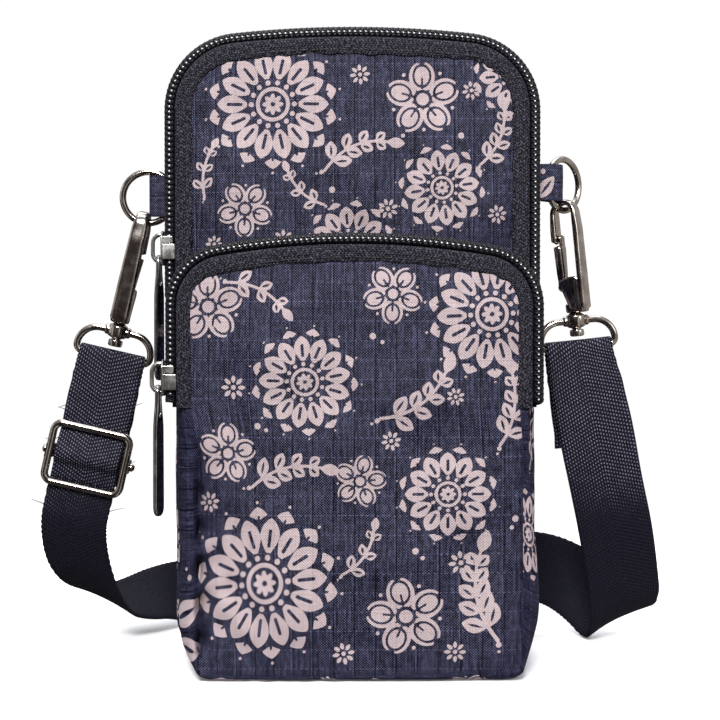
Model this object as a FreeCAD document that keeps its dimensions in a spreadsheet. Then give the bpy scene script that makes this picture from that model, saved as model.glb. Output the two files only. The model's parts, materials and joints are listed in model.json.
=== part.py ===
# Crossbody phone pouch: two zipped compartments, two ring tabs, and a webbing
# strap with a swivel hook at each end and a slide adjuster.
# +Z up, +X to the wearer's view right, the front faces -Y. Millimetres.
import FreeCAD, Part
import Sketcher
import math
import os
from FreeCAD import Vector, Rotation, Placement

os.makedirs("parts", exist_ok=True)
doc = FreeCAD.newDocument("phone_pouch")
sheet = doc.addObject("Spreadsheet::Sheet", "dims")

SIZES = [
    # body outlines
    ("half_width", 52.0), ("pocket_half", 49.4), ("main_top", 183.2), ("main_arch", 320.0), ("main_corner", 20.0),
    ("pocket_top", 122.3), ("pocket_arch", 220.0), ("pocket_corner", 16.0), ("base_corner", 8.0),
    # cloth
    ("back_face", 26.0), ("back_cloth", 1.4), ("wall_cloth", 1.4), ("face_cloth", 0.7), ("flap_cloth", 1.0),
    ("lining_inset", 3.2), ("lining_cloth", 0.6),
    # zips
    ("main_zip_plane", -1.0), ("pocket_zip_plane", -21.8), ("face_reach", 4.2),
    ("row_gap", 1.0), ("row_width", 2.1), ("row_proud", 1.15), ("tape_outer", 0.65), ("tape_cloth", 0.7),
    ("main_band", 7.0), ("pocket_band", 6.2), ("rear_band_end", 9.0),
    ("main_end_low", 110.0), ("main_end_high", 126.4), ("pocket_end_low", 75.0), ("pocket_end_high", 90.0),
    ("fold_gap", 0.2),
    # zip sliders and pulls
    ("main_slider_mid", 120.5), ("pocket_slider_mid", 83.5), ("slider_half", 5.0), ("slider_plate", 0.9),
    ("crown_half", 4.4), ("crown_out", 6.0), ("crown_wire", 0.9), ("crown_width", 1.6),
    ("pull_length", 36.5), ("pull_width", 5.4), ("pull_thick", 1.2),
    # ring tabs and rings
    ("left_tab_mid", 136.5), ("right_tab_mid", 140.5), ("tab_height", 10.4), ("tab_plane", 12.0),
    ("tab_reach", 4.6), ("tab_outer", 2.0), ("tab_inner", 1.2),
    ("right_tab_plane", 7.0), ("right_tab_reach", 7.8), ("right_tab_outer", 2.65), ("right_tab_inner", 1.85), ("right_tab_lean", 20.0),
    ("right_ring_gap", 5.6), ("right_ring_lean", 45.0), ("right_ring_low", 5.0),
    ("ring_radius", 7.65), ("ring_wire", 0.85), ("ring_gap", 2.2),
    # swivel hooks
    ("left_tilt", 13.0), ("right_tilt", -6.0), ("right_turn", 57.0), ("hook_reach", 31.0), ("hook_inner", 2.6), ("hook_strip", 1.6),
    ("hook_width", 5.2), ("hook_top_width", 3.2), ("curl_height", 30.0), ("nose_low", 21.0), ("base_height", 11.0),
    ("gate_pivot_out", 2.4), ("gate_pivot_up", 8.0), ("pin_radius", 0.6), ("post_radius", 1.25), ("post_slack", 0.1),
    # strap hardware
    ("dee_half", 11.2), ("dee_shoulder", 6.0), ("dee_foot", 2.0), ("dee_wire", 0.9), ("dee_top", 2.4),
    ("adjuster_half", 11.5), ("adjuster_rise", 8.9), ("adjuster_corner", 2.6), ("adjuster_wire", 1.1),
    ("adjuster_down", 31.0), ("adjuster_front", 3.6), ("adjuster_bar", 0.8),
    # webbing
    ("strap_width", 20.0), ("strap_thick", 1.3), ("fold_inner", 1.05), ("left_tail", 38.0), ("right_tail", 30.0), ("fold_stub", 4.0),
    ("roll_middle", 69.0), ("roll_core", 14.0), ("roll_outer", 33.0), ("roll_pitch", 7.8), ("roll_height", 10.2),
]
V = {}
for row, (word, value) in enumerate(SIZES, start=1):
    sheet.set("A%d" % row, word)
    sheet.set("B%d" % row, repr(value))
    sheet.setAlias("B%d" % row, word)
    V[word] = value
doc.recompute()


class Dim:
    """A size: its value now and the sheet formula that it follows."""

    def __init__(self, value, formula):
        self.v, self.f = float(value), formula

    @staticmethod
    def of(x):
        return x if isinstance(x, Dim) else Dim(x, "%.6f" % x)

    def __add__(self, o):
        o = Dim.of(o)
        return Dim(self.v + o.v, "(%s + %s)" % (self.f, o.f))

    __radd__ = __add__

    def __neg__(self):
        return Dim(-self.v, "(0 - %s)" % self.f)

    def __sub__(self, o):
        return self + (-Dim.of(o))

    def __rsub__(self, o):
        return Dim.of(o) + (-self)

    def __mul__(self, o):
        o = Dim.of(o)
        return Dim(self.v * o.v, "(%s * %s)" % (self.f, o.f))

    __rmul__ = __mul__


def S(word):
    return Dim(V[word], "dims." + word)


def bind(obj, prop, dim):
    dim = Dim.of(dim)
    obj.setExpression(prop, dim.f)


def box(name, x0, x1, y0, y1, z0, z1):
    x0, x1, y0, y1, z0, z1 = [Dim.of(q) for q in (x0, x1, y0, y1, z0, z1)]
    b = doc.addObject("Part::Box", name)
    bind(b, "Length", x1 - x0)
    bind(b, "Width", y1 - y0)
    bind(b, "Height", z1 - z0)
    bind(b, "Placement.Base.x", x0)
    bind(b, "Placement.Base.y", y0)
    bind(b, "Placement.Base.z", z0)
    return b


def cylinder(name, radius, height, x, y, z, along="z"):
    """A cylinder centred on its own length."""
    c = doc.addObject("Part::Cylinder", name)
    radius, height, x, y, z = [Dim.of(q) for q in (radius, height, x, y, z)]
    turn = {"z": Rotation(), "x": Rotation(Vector(0, 1, 0), 90), "y": Rotation(Vector(1, 0, 0), -90)}[along]
    c.Placement = Placement(Vector(0, 0, 0), turn)
    bind(c, "Radius", radius)
    bind(c, "Height", height)
    half = height * 0.5
    bind(c, "Placement.Base.x", x - half if along == "x" else x)
    bind(c, "Placement.Base.y", y - half if along == "y" else y)
    bind(c, "Placement.Base.z", z - half if along == "z" else z)
    return c


def cut(name, a, b):
    o = doc.addObject("Part::Cut", name)
    o.Base, o.Tool = a, b
    return o


def common(name, a, b):
    o = doc.addObject("Part::Common", name)
    o.Base, o.Tool = a, b
    return o


def fuse(name, *parts):
    o = doc.addObject("Part::MultiFuse", name)
    o.Shapes = list(parts)
    o.Refine = True
    return o


MAIN = {"half": S("half_width"), "top": S("main_top"), "arch": S("main_arch"), "corner": S("main_corner")}
POCKET = {"half": S("pocket_half"), "top": S("pocket_top"), "arch": S("pocket_arch"), "corner": S("pocket_corner")}


def outline(name, shape, inset, y0, y1):
    """A slab of the body's front outline, inset by so much, from y0 back to y1."""
    inset, y0, y1 = Dim.of(inset), Dim.of(y0), Dim.of(y1)
    half, top = shape["half"] - inset, shape["top"] - inset
    arch, corner, foot = shape["arch"] - inset, shape["corner"] - inset, S("base_corner") - inset
    low = inset
    h, t, big, r, f, b = half.v, top.v, arch.v, corner.v, max(foot.v, 0.5), low.v
    body = doc.addObject("PartDesign::Body", name)
    plane = [o for o in body.Origin.OriginFeatures if o.Role == "XZ_Plane"][0]
    sk = body.newObject("Sketcher::SketchObject", name + "_sketch")
    sk.AttachmentSupport = [(plane, "")]
    sk.MapMode = "FlatFace"
    sk.setExpression("AttachmentOffset.Base.z", (-y1).f)
    zc = t - big
    zk = zc + math.sqrt((big - r) ** 2 - (h - r) ** 2)
    lean = math.atan2(zk - zc, h - r)
    n = Vector(0, 0, 1)
    P = Vector

    def arc(cx, cz, rad, a0, a1):
        return Part.ArcOfCircle(Part.Circle(P(cx, cz, 0), n, rad), a0, a1)

    g = [
        Part.LineSegment(P(-h + f, b, 0), P(h - f, b, 0)),
        arc(h - f, b + f, f, -math.pi / 2, 0),
        Part.LineSegment(P(h, b + f, 0), P(h, zk, 0)),
        arc(h - r, zk, r, 0, lean),
        arc(0, zc, big, lean, math.pi - lean),
        arc(-h + r, zk, r, math.pi - lean, math.pi),
        Part.LineSegment(P(-h, zk, 0), P(-h, b + f, 0)),
        arc(-h + f, b + f, f, math.pi, 1.5 * math.pi),
    ]
    for q in g:
        sk.addGeometry(q)
    C = Sketcher.Constraint
    for i in range(8):
        sk.addConstraint(C("Tangent", i, 2, (i + 1) % 8, 1))
    sk.addConstraint(C("Horizontal", 0))
    sk.addConstraint(C("Vertical", 2))
    sk.addConstraint(C("Vertical", 6))

    def size(con, name_, dim):
        i = sk.addConstraint(con)
        sk.renameConstraint(i, name_)
        sk.setExpression("Constraints." + name_, dim.f)

    size(C("Radius", 4, big), "arch", arch)
    size(C("Radius", 3, r), "corner", corner)
    sk.addConstraint(C("Equal", 3, 5))
    if foot.v > 0.5:
        size(C("Radius", 1, f), "foot", foot)
    else:
        sk.addConstraint(C("Radius", 1, f))
    sk.addConstraint(C("Equal", 1, 7))
    size(C("DistanceX", -1, 1, 2, 1, h), "half_right", half)
    size(C("DistanceX", 6, 1, -1, 1, h), "half_left", half)
    sk.addConstraint(C("PointOnObject", 4, 3, -2))
    size(C("DistanceY", 4, 3, -1, 1, -zc), "arch_middle", arch - top)
    if abs(b) < 1e-9:
        sk.addConstraint(C("PointOnObject", 0, 1, -1))
    elif b > 0:
        size(C("DistanceY", -1, 1, 0, 1, b), "low", low)
    else:
        size(C("DistanceY", 0, 1, -1, 1, -b), "low", -low)
    pad = body.newObject("PartDesign::Pad", name + "_pad")
    pad.Profile = sk
    pad.setExpression("Length", (y1 - y0).f)
    sk.Visibility = False
    return body


def band(name, shape, outer, inner, y0, y1, z0, z1):
    """The outline between two insets, between two heights."""
    y0, y1 = Dim.of(y0), Dim.of(y1)
    ring = cut(name + "_ring", outline(name + "_outer", shape, outer, y0, y1), outline(name + "_inner", shape, inner, y0 - 2.0, y1 + 2.0))
    return common(name, ring, box(name + "_span", -90.0, 90.0, -60.0, 60.0, z0, z1))


NODES = {}
TOP = 300.0
tape_in = S("tape_outer") + S("tape_cloth")
main_face = S("main_zip_plane") - S("face_reach")
pocket_face = S("pocket_zip_plane") - S("face_reach")
back_in = S("back_face") - S("back_cloth")
gap = S("fold_gap")

# ------------------------------------------------------------------ cloth body
NODES["back_panel"] = outline("back_panel", MAIN, 0.0, back_in, S("back_face"))
NODES["main_gusset"] = band("main_gusset", MAIN, 0.0, S("wall_cloth"), main_face, back_in, -5.0, S("main_end_low"))
NODES["top_gusset"] = band("top_gusset", MAIN, 0.0, S("wall_cloth"), S("rear_band_end"), back_in, S("main_end_low"), TOP)
NODES["main_front_panel"] = common(
    "main_front_panel", outline("main_front_slab", MAIN, S("wall_cloth"), main_face, main_face + S("face_cloth")),
    box("main_front_span", -90.0, 90.0, -60.0, 60.0, -5.0, S("main_end_high")))
NODES["main_lining"] = cut(
    "main_lining", outline("main_lining_out", MAIN, S("lining_inset"), main_face + 1.3, back_in - 0.4),
    outline("main_lining_in", MAIN, S("lining_inset") + S("lining_cloth"), main_face - 1.0, back_in - 0.4 - S("lining_cloth")))
NODES["pocket_gusset"] = band("pocket_gusset", POCKET, 0.0, S("wall_cloth"), pocket_face + S("face_cloth"), main_face, -5.0, S("pocket_end_low"))
low_slab = common("pocket_low_slab", outline("pocket_low_out", POCKET, 0.0, pocket_face, pocket_face + S("face_cloth")),
                  box("pocket_low_span", -90.0, 90.0, -60.0, 60.0, -5.0, S("pocket_end_high")))
side_l = box("pocket_low_side_l", -90.0, S("pocket_band") - S("pocket_half"), -60.0, 60.0, S("pocket_end_low"), TOP)
side_r = box("pocket_low_side_r", S("pocket_half") - S("pocket_band"), 90.0, -60.0, 60.0, S("pocket_end_low"), TOP)
NODES["pocket_front_panel"] = cut("pocket_front_panel", cut("pocket_low_cut", low_slab, side_l), side_r)
NODES["pocket_lining"] = cut(
    "pocket_lining", outline("pocket_lining_out", POCKET, S("lining_inset"), pocket_face + 1.4, main_face - 0.3),
    outline("pocket_lining_in", POCKET, S("lining_inset") + S("lining_cloth"), pocket_face - 1.0, main_face - 0.3 - S("lining_cloth")))


# ------------------------------------------------------------------ zips
def zip_set(p, shape, plane, rear_end, band_in, low, high):
    half_gap = S("row_gap") * 0.5
    face = plane - S("face_reach")
    front_row = (plane - half_gap - S("row_width"), plane - half_gap)
    rear_row = (plane + half_gap, plane + half_gap + S("row_width"))
    NODES[p + "_zip_tape_rear"] = band(p + "_zip_tape_rear", shape, S("tape_outer"), tape_in, rear_row[0], rear_end, low, TOP)
    NODES[p + "_zip_coil_rear"] = band(p + "_zip_coil_rear", shape, -S("row_proud"), S("tape_outer"), rear_row[0], rear_row[1], low, TOP)
    NODES[p + "_zip_coil_ends"] = band(p + "_zip_coil_ends", shape, -S("row_proud"), S("tape_outer"), front_row[0], front_row[1], low, high)
    NODES[p + "_zip_coil_front"] = band(p + "_zip_coil_front", shape, -S("row_proud"), S("tape_outer"), front_row[0], front_row[1], high + gap, TOP)
    rim = band(p + "_front_rim", shape, S("tape_outer"), tape_in, face, front_row[1], high + gap, TOP)
    flat = band(p + "_front_flat", shape, tape_in, band_in, face, face + S("face_cloth"), high + gap, TOP)
    NODES[p + "_zip_tape_front"] = fuse(p + "_zip_tape_front", rim, flat)
    return face, front_row


zip_set("main", MAIN, S("main_zip_plane"), S("rear_band_end"), S("main_band"), S("main_end_low"), S("main_end_high"))
zip_set("pocket", POCKET, S("pocket_zip_plane"), main_face, S("pocket_band"), S("pocket_end_low"), S("pocket_end_high"))
half_gap = S("row_gap") * 0.5
NODES["main_zip_tape_ends"] = band("main_zip_tape_ends", MAIN, S("tape_outer"), tape_in, main_face, S("main_zip_plane") - half_gap, S("main_end_low"), S("main_end_high"))
end_rim = band("pocket_end_rim", POCKET, S("tape_outer"), tape_in, pocket_face, S("pocket_zip_plane") - half_gap, S("pocket_end_low"), S("pocket_end_high"))
end_flat = band("pocket_end_flat", POCKET, tape_in, S("pocket_band"), pocket_face, pocket_face + S("face_cloth"), S("pocket_end_low"), S("pocket_end_high"))
NODES["pocket_zip_tape_ends"] = fuse("pocket_zip_tape_ends", end_rim, end_flat)
NODES["main_flap_panel"] = common("main_flap_panel", outline("main_flap_slab", MAIN, S("main_band"), main_face, main_face + S("flap_cloth")),
                                  box("main_flap_span", -90.0, 90.0, -60.0, 60.0, S("main_end_high") + gap, TOP))
NODES["pocket_flap_panel"] = common("pocket_flap_panel", outline("pocket_flap_slab", POCKET, S("pocket_band"), pocket_face, pocket_face + S("flap_cloth")),
                                    box("pocket_flap_span", -90.0, 90.0, -60.0, 60.0, S("pocket_end_high") + gap, TOP))


# ------------------------------------------------------------------ zip sliders, crowns and pulls on the left edge
def slider(p, shape, plane, mid):
    edge = -shape["half"]
    lo, hi = mid - S("slider_half"), mid + S("slider_half")
    shell = edge - S("row_proud") - 0.35
    outer = box(p + "_slider_outer", shell - S("slider_plate"), shell, plane - 4.1, plane + 4.1, lo, hi)
    rim_r = box(p + "_slider_rim_rear", shell, edge + 0.3, plane + 2.95, plane + 3.9, lo, hi)
    inner = box(p + "_slider_inner", edge + 2.1, edge + 2.9, plane - 3.1, plane + 3.6, lo, hi)
    post = box(p + "_slider_post", shell, edge + 2.1, plane - 0.3, plane + 0.3, lo + 0.6, lo + 3.4)
    NODES[p + "_zip_slider"] = fuse(p + "_zip_slider", outer, rim_r, inner, post)
    foot = shell - S("slider_plate")
    reach = edge - S("crown_out") - S("row_proud")
    w = S("crown_width") * 0.5
    c_out = box(p + "_crown_out", reach, foot, plane - w, plane + w, mid - S("crown_half"), mid + S("crown_half"))
    c_in = box(p + "_crown_in", reach + S("crown_wire"), foot + 2.0, plane - w - 1.0, plane + w + 1.0,
               mid - S("crown_half") + S("crown_wire"), mid + S("crown_half") - S("crown_wire"))
    return c_out, c_in, foot, reach


def round_edges(name, base, pick, radius):
    """Rounds the edges of base that pick(edge) chooses."""
    doc.recompute()
    f = doc.addObject("Part::Fillet", name)
    f.Base = base
    f.Edges = [(i + 1, radius, radius) for i, e in enumerate(base.Shape.Edges) if pick(e)]
    return f


def along_y(e):
    d = e.Vertexes[-1].Point - e.Vertexes[0].Point
    return abs(d.y) > 0.99 * d.Length


def crown_and_pull(p, shape, plane, mid):
    c_out, c_in, foot, reach = slider(p, shape, plane, mid)
    far = reach.v + 0.2
    r_out = round_edges(p + "_crown_round", c_out, lambda e: along_y(e) and e.BoundBox.XMin < far, 2.4)
    far_in = reach.v + V["crown_wire"] + 0.2
    r_in = round_edges(p + "_crown_hollow", c_in, lambda e: along_y(e) and e.BoundBox.XMin < far_in, 1.6)
    NODES[p + "_zip_crown"] = cut(p + "_zip_crown", r_out, r_in)
    # the pull hangs from the crown's lower leg
    px = reach + S("crown_wire") + 1.35
    pz = mid - S("crown_half") + S("crown_wire") + 1.0
    t = S("pull_thick") * 0.5
    hw = S("pull_width") * 0.5
    plate = box(p + "_pull_plate", px - t, px + t, plane - hw, plane + hw, pz + 0.6 - S("pull_length"), pz + 0.6)
    plate_r = round_edges(p + "_pull_ends", plate, lambda e: abs((e.Vertexes[-1].Point - e.Vertexes[0].Point).x) > 0.9 * V["pull_thick"], 2.2)
    eye = box(p + "_pull_eye", px - 2.0, px + 2.0, plane - 1.5, plane + 1.5, pz - 8.6, pz - 0.6)
    eye_r = round_edges(p + "_pull_eye_round", eye, lambda e: abs((e.Vertexes[-1].Point - e.Vertexes[0].Point).x) > 3.9, 1.2)
    NODES[p + "_zip_pull"] = cut(p + "_zip_pull", plate_r, eye_r)
    return px, pz


main_pull_at = crown_and_pull("main", MAIN, S("main_zip_plane"), S("main_slider_mid"))
pocket_pull_at = crown_and_pull("pocket", POCKET, S("pocket_zip_plane"), S("pocket_slider_mid"))


# ------------------------------------------------------------------ ring tabs and rings
def tab_and_ring(side, sign, mid, y, reach, outer, inner, gap_, tab_lean, ring_lean):
    """A folded cloth tab on a side wall and the wire ring in its fold; both may lean back about the upright line where the tab starts."""
    wall = S("half_width") * sign
    tip = wall + reach * sign
    root = wall - sign * 2.0
    h = S("tab_height") * 0.5
    lo_x, hi_x = (tip, root) if sign < 0 else (root, tip)
    body = fuse(side + "_tab_body", box(side + "_tab_flat", lo_x, hi_x, y - outer, y + outer, mid - h, mid + h),
                cylinder(side + "_tab_tip", outer, S("tab_height"), tip, y, mid))
    slot_lo, slot_hi = (tip, root + 1.0) if sign < 0 else (root - 1.0, tip)
    slot_flat = box(side + "_tab_slot", slot_lo, slot_hi, y - inner, y + inner, mid - h - 1.0, mid + h + 1.0)
    slot = fuse(side + "_tab_hollow", slot_flat, cylinder(side + "_tab_bend", inner, S("tab_height") + 2.0, tip, y, mid))
    loop = cut(side + "_tab_loop", body, slot)
    loop.Placement = Placement(Vector(0, 0, 0), Rotation(Vector(0, 0, 1), tab_lean), Vector(wall.v, y.v, 0))
    out_lo, out_hi = (Dim.of(-90.0), wall) if sign < 0 else (wall, Dim.of(90.0))
    NODES[side + "_tab"] = common(side + "_tab", loop, box(side + "_tab_outside", out_lo, out_hi, -60.0, 60.0, 0.0, 200.0))
    # the ring's wire stands in the fold, and the ring leans about that upright wire
    a, b = math.radians(tab_lean), math.radians(ring_lean)
    cx = wall + (gap_ * math.cos(a) + S("ring_radius") * math.cos(b)) * sign
    cy = y + gap_ * (sign * math.sin(a)) + S("ring_radius") * (sign * math.sin(b))
    ring = doc.addObject("Part::Torus", side + "_o_ring")
    ring.Placement = Placement(Vector(0, 0, 0), Rotation(Vector(0, 0, 1), ring_lean) * Rotation(Vector(1, 0, 0), 90))
    bind(ring, "Radius1", S("ring_radius"))
    bind(ring, "Radius2", S("ring_wire"))
    bind(ring, "Placement.Base.x", cx)
    bind(ring, "Placement.Base.y", cy)
    bind(ring, "Placement.Base.z", mid)
    NODES[side + "_o_ring"] = ring
    return Vector(cx.v, cy.v, mid.v)


left_ring_at = tab_and_ring("left", -1.0, S("left_tab_mid"), S("tab_plane"), S("tab_reach"), S("tab_outer"), S("tab_inner"), S("ring_gap"), 0.0, 0.0)
right_ring_at = tab_and_ring("right", 1.0, S("right_tab_mid"), S("right_tab_plane"), S("right_tab_reach"), S("right_tab_outer"), S("right_tab_inner"),
                             S("right_ring_gap"), V["right_tab_lean"], V["right_ring_lean"])


# ------------------------------------------------------------------ wire frames
def quarter(name, radius, wire, x, y, z, turn):
    t = doc.addObject("Part::Torus", name)
    t.Placement = Placement(Vector(0, 0, 0), Rotation(Vector(1, 0, 0), 90) * Rotation(Vector(0, 0, 1), turn))
    bind(t, "Radius1", radius)
    bind(t, "Radius2", wire)
    t.Angle3 = 90
    bind(t, "Placement.Base.x", x)
    bind(t, "Placement.Base.y", y)
    bind(t, "Placement.Base.z", z)
    return t


def wire_frame(name, half, top, bottom, r_top, r_foot, wire, y):
    """A closed rounded frame of round wire in an XZ plane."""
    half, top, bottom, r_top, r_foot, wire, y = [Dim.of(q) for q in (half, top, bottom, r_top, r_foot, wire, y)]
    parts = [
        cylinder(name + "_top", wire, (half - r_top) * 2.0, 0.0, y, top, "x"),
        cylinder(name + "_low", wire, (half - r_foot) * 2.0, 0.0, y, bottom, "x"),
        quarter(name + "_tr", r_top, wire, half - r_top, y, top - r_top, 0),
        quarter(name + "_tl", r_top, wire, r_top - half, y, top - r_top, 90),
        quarter(name + "_bl", r_foot, wire, r_foot - half, y, bottom + r_foot, 180),
        quarter(name + "_br", r_foot, wire, half - r_foot, y, bottom + r_foot, 270),
    ]
    rise = top - r_top - bottom - r_foot
    if rise.v > 0.01:
        mid = (top - r_top + bottom + r_foot) * 0.5
        parts += [cylinder(name + "_sl", wire, rise, -half, y, mid), cylinder(name + "_sr", wire, rise, half, y, mid)]
    return fuse(name, *parts)


# ------------------------------------------------------------------ swivel hooks
def profile(name, plane_role, points, depth):
    """A straight-sided profile, padded evenly to both sides of its plane; every corner follows its own two sizes."""
    body = doc.addObject("PartDesign::Body", name)
    plane = [o for o in body.Origin.OriginFeatures if o.Role == plane_role][0]
    sk = body.newObject("Sketcher::SketchObject", name + "_sketch")
    sk.AttachmentSupport = [(plane, "")]
    sk.MapMode = "FlatFace"
    pts = [(Dim.of(a), Dim.of(b)) for a, b in points]
    C = Sketcher.Constraint
    for i, (a, b) in enumerate(pts):
        a2, b2 = pts[(i + 1) % len(pts)]
        sk.addGeometry(Part.LineSegment(Vector(a.v, b.v, 0), Vector(a2.v, b2.v, 0)))
    for i in range(len(pts)):
        sk.addConstraint(C("Coincident", i, 2, (i + 1) % len(pts), 1))
    for i, (a, b) in enumerate(pts):
        for kind, q, word in (("DistanceX", a, "across"), ("DistanceY", b, "up")):
            if abs(q.v) < 1e-9:
                sk.addConstraint(C("PointOnObject", i, 1, -2 if kind == "DistanceX" else -1))
                continue
            k = sk.addConstraint(C(kind, -1, 1, i, 1, q.v) if q.v > 0 else C(kind, i, 1, -1, 1, -q.v))
            sk.renameConstraint(k, "%s_%d" % (word, i))
            sk.setExpression("Constraints.%s_%d" % (word, i), (q if q.v > 0 else -q).f)
    pad = body.newObject("PartDesign::Pad", name + "_pad")
    pad.Profile = sk
    pad.Midplane = True
    pad.setExpression("Length", Dim.of(depth).f)
    sk.Visibility = False
    return body


def hook(side, place, adjust):
    p = side + "_"
    ri, t = S("hook_inner"), S("hook_strip")
    ro = ri + t
    w = S("hook_width")
    hw = w * 0.5
    cz = S("curl_height")
    leg = box(p + "hook_leg", -hw, hw, -ro, -ri, 0.0, cz)
    nose = box(p + "hook_nose", -hw, hw, ri, ro, S("nose_low"), cz)
    curl_all = cut(p + "hook_curl_ring", cylinder(p + "hook_curl_out", ro, w, 0.0, 0.0, cz, "x"), cylinder(p + "hook_curl_in", ri, w + 2.0, 0.0, 0.0, cz, "x"))
    curl = common(p + "hook_curl", curl_all, box(p + "hook_curl_top", -10.0, 10.0, -10.0, 10.0, cz, cz + 10.0))
    block = box(p + "hook_block", -hw, hw, -ro, ro - 0.2, 0.0, S("base_height"))
    whole = fuse(p + "hook_whole", leg, nose, curl, block)
    room = box(p + "hook_room", -1.75, 1.75, -ri, ro + 1.0, 3.0, S("base_height") + 0.5)
    bore = cylinder(p + "hook_bore", S("post_radius") + S("post_slack"), 8.0, 0.0, 0.0, 1.0)
    pin_bore = cylinder(p + "hook_pin_bore", S("pin_radius"), w + 4.0, 0.0, S("gate_pivot_out"), S("gate_pivot_up"), "x")
    drilled = cut(p + "hook_drilled", whole, fuse(p + "hook_tools", room, bore, pin_bore))
    tw = S("hook_top_width") * 0.5
    taper = profile(p + "hook_taper", "XZ_Plane",
                    [(-hw, -1.0), (hw, -1.0), (hw, 12.0), (tw, cz + ro + 1.0), (-tw, cz + ro + 1.0), (-hw, 12.0)], 24.0)
    NODES[p + "hook_body"] = common(p + "hook_body", drilled, taper)
    # gate, its pin and its spring
    gy, gz = S("gate_pivot_out"), S("gate_pivot_up")
    blade = box(p + "gate_blade", -1.6, 1.6, gy - 1.1, gy + 0.05, gz, S("nose_low") + 3.0)
    cheek = box(p + "gate_cheek", -2.2, 2.2, gy - 1.1, gy + 1.5, S("base_height") + 1.2, S("nose_low") - 0.2)
    neck = box(p + "gate_neck", -1.6, 1.6, gy - 1.1, gy + 1.5, gz + 0.5, S("base_height") + 1.2)
    knuckle = cylinder(p + "gate_knuckle", 1.5, 3.2, 0.0, gy, gz, "x")
    spring_room = cylinder(p + "gate_spring_room", 1.35, 1.5, 0.0, gy, gz, "x")
    spring_way = box(p + "gate_spring_way", -0.75, 0.75, gy - 3.0, gy + 3.0, gz - 3.0, gz + 0.2)
    gate_bore = cylinder(p + "gate_bore", S("pin_radius") + 0.08, 10.0, 0.0, gy, gz, "x")
    solid = fuse(p + "gate_solid", blade, cheek, neck, knuckle)
    NODES[p + "hook_gate"] = cut(p + "hook_gate", solid, fuse(p + "gate_tools", spring_room, spring_way, gate_bore))
    NODES[p + "gate_pin"] = cylinder(p + "gate_pin", S("pin_radius"), w - 0.1, 0.0, gy, gz, "x")
    coil_out = cylinder(p + "gate_coil_out", 1.15, 1.3, 0.0, gy, gz, "x")
    coil_in = cylinder(p + "gate_coil_in", S("pin_radius"), 4.0, 0.0, gy, gz, "x")
    NODES[p + "gate_spring"] = cut(p + "gate_spring", coil_out, coil_in)
    # swivel post and dee
    post = fuse(p + "post_solid", cylinder(p + "post_shank", S("post_radius"), 4.0, 0.0, 0.0, 1.6),
                cylinder(p + "post_head", 1.6, 1.1, 0.0, 0.0, 3.65),
                cylinder(p + "post_collar", 2.6, 4.6, 0.0, 0.0, -2.4))
    NODES[p + "swivel_post"] = cut(p + "swivel_post", post, cylinder(p + "post_eye", S("dee_wire") + 0.1, 12.0, 0.0, 0.0, -S("dee_top"), "x"))
    NODES[p + "d_ring"] = wire_frame(p + "d_ring", S("dee_half"), -S("dee_top"), -(S("dee_top") + S("dee_shoulder") + S("dee_foot")),
                                     S("dee_shoulder"), S("dee_foot"), S("dee_wire"), 0.0)
    # folded webbing end round the straight side of the dee
    bar = -(S("dee_top") + S("dee_shoulder") + S("dee_foot"))
    sw = S("strap_width") * 0.5
    fi, fo = S("fold_inner"), S("fold_inner") + S("strap_thick")
    bend_all = cut(p + "fold_ring", cylinder(p + "fold_out", fo, S("strap_width"), 0.0, 0.0, bar, "x"), cylinder(p + "fold_in", fi, S("strap_width") + 2.0, 0.0, 0.0, bar, "x"))
    bend = common(p + "fold_bend", bend_all, box(p + "fold_top", -20.0, 20.0, -20.0, 20.0, bar, bar + 20.0))
    stub = box(p + "fold_stub", -sw, sw, -fo, -fi, bar - S("fold_stub"), bar)
    tail = box(p + "fold_tail", -sw, sw, fi, fo, bar - S(side + "_tail"), bar)
    NODES["strap_%s_loop" % side] = fuse("strap_%s_loop" % side, bend, stub, tail)
    names = [p + "swivel_post", p + "d_ring", "strap_%s_loop" % side]
    if adjust:
        mid = bar - S("adjuster_down")
        ay = -S("adjuster_front")
        frame = wire_frame("adjuster_wire", S("adjuster_half"), mid + S("adjuster_rise"), mid - S("adjuster_rise"),
                           S("adjuster_corner"), S("adjuster_corner"), S("adjuster_wire"), ay)
        ah = S("adjuster_half")
        lugs = [box("adjuster_lug_l", -ah - 1.05, -ah + 1.05, ay - 0.9, 1.3, mid - 2.0, mid + 2.0),
                box("adjuster_lug_r", ah - 1.05, ah + 1.05, ay - 0.9, 1.3, mid - 2.0, mid + 2.0)]
        whole = fuse("adjuster_whole", frame, *lugs)
        NODES["adjuster_frame"] = cut("adjuster_frame", whole, cylinder("adjuster_bore", S("adjuster_bar"), 40.0, 0.0, 0.0, mid, "x"))
        NODES["adjuster_bar"] = cylinder("adjuster_bar", S("adjuster_bar"), ah * 2.0 + 4.8, 0.0, 0.0, mid, "x")
        names += ["adjuster_frame", "adjuster_bar"]
    return names, [p + "hook_body", p + "hook_gate", p + "gate_pin", p + "gate_spring"]


def move(names, place):
    """Sets each named piece at its place on the part, after its own."""
    for n in names:
        o = NODES[n]
        if o.TypeId == "Part::Cylinder":
            # a lone cylinder keeps its own place inside a group of one
            group = doc.addObject("Part::Compound", n + "_set")
            group.Links = [o]
            NODES[n] = o = group
        o.Placement = place


def hook_place(ring_at, ring_lean, low, tilt, turn):
    """Where a hook hangs: its curl holds the ring's wire at the given angle from the ring's lowest point."""
    r, a, b, t = V["ring_radius"], math.radians(low), math.radians(ring_lean), math.radians(tilt)
    held = ring_at + Vector(r * math.sin(a) * math.cos(b), r * math.sin(a) * math.sin(b), -r * math.cos(a))
    at = held - Vector(math.sin(t), 0, math.cos(t)) * V["hook_reach"]
    base = Rotation(Vector(0, 1, 0), tilt)
    return Placement(at, base), Placement(at, base * Rotation(Vector(0, 0, 1), turn))


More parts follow.
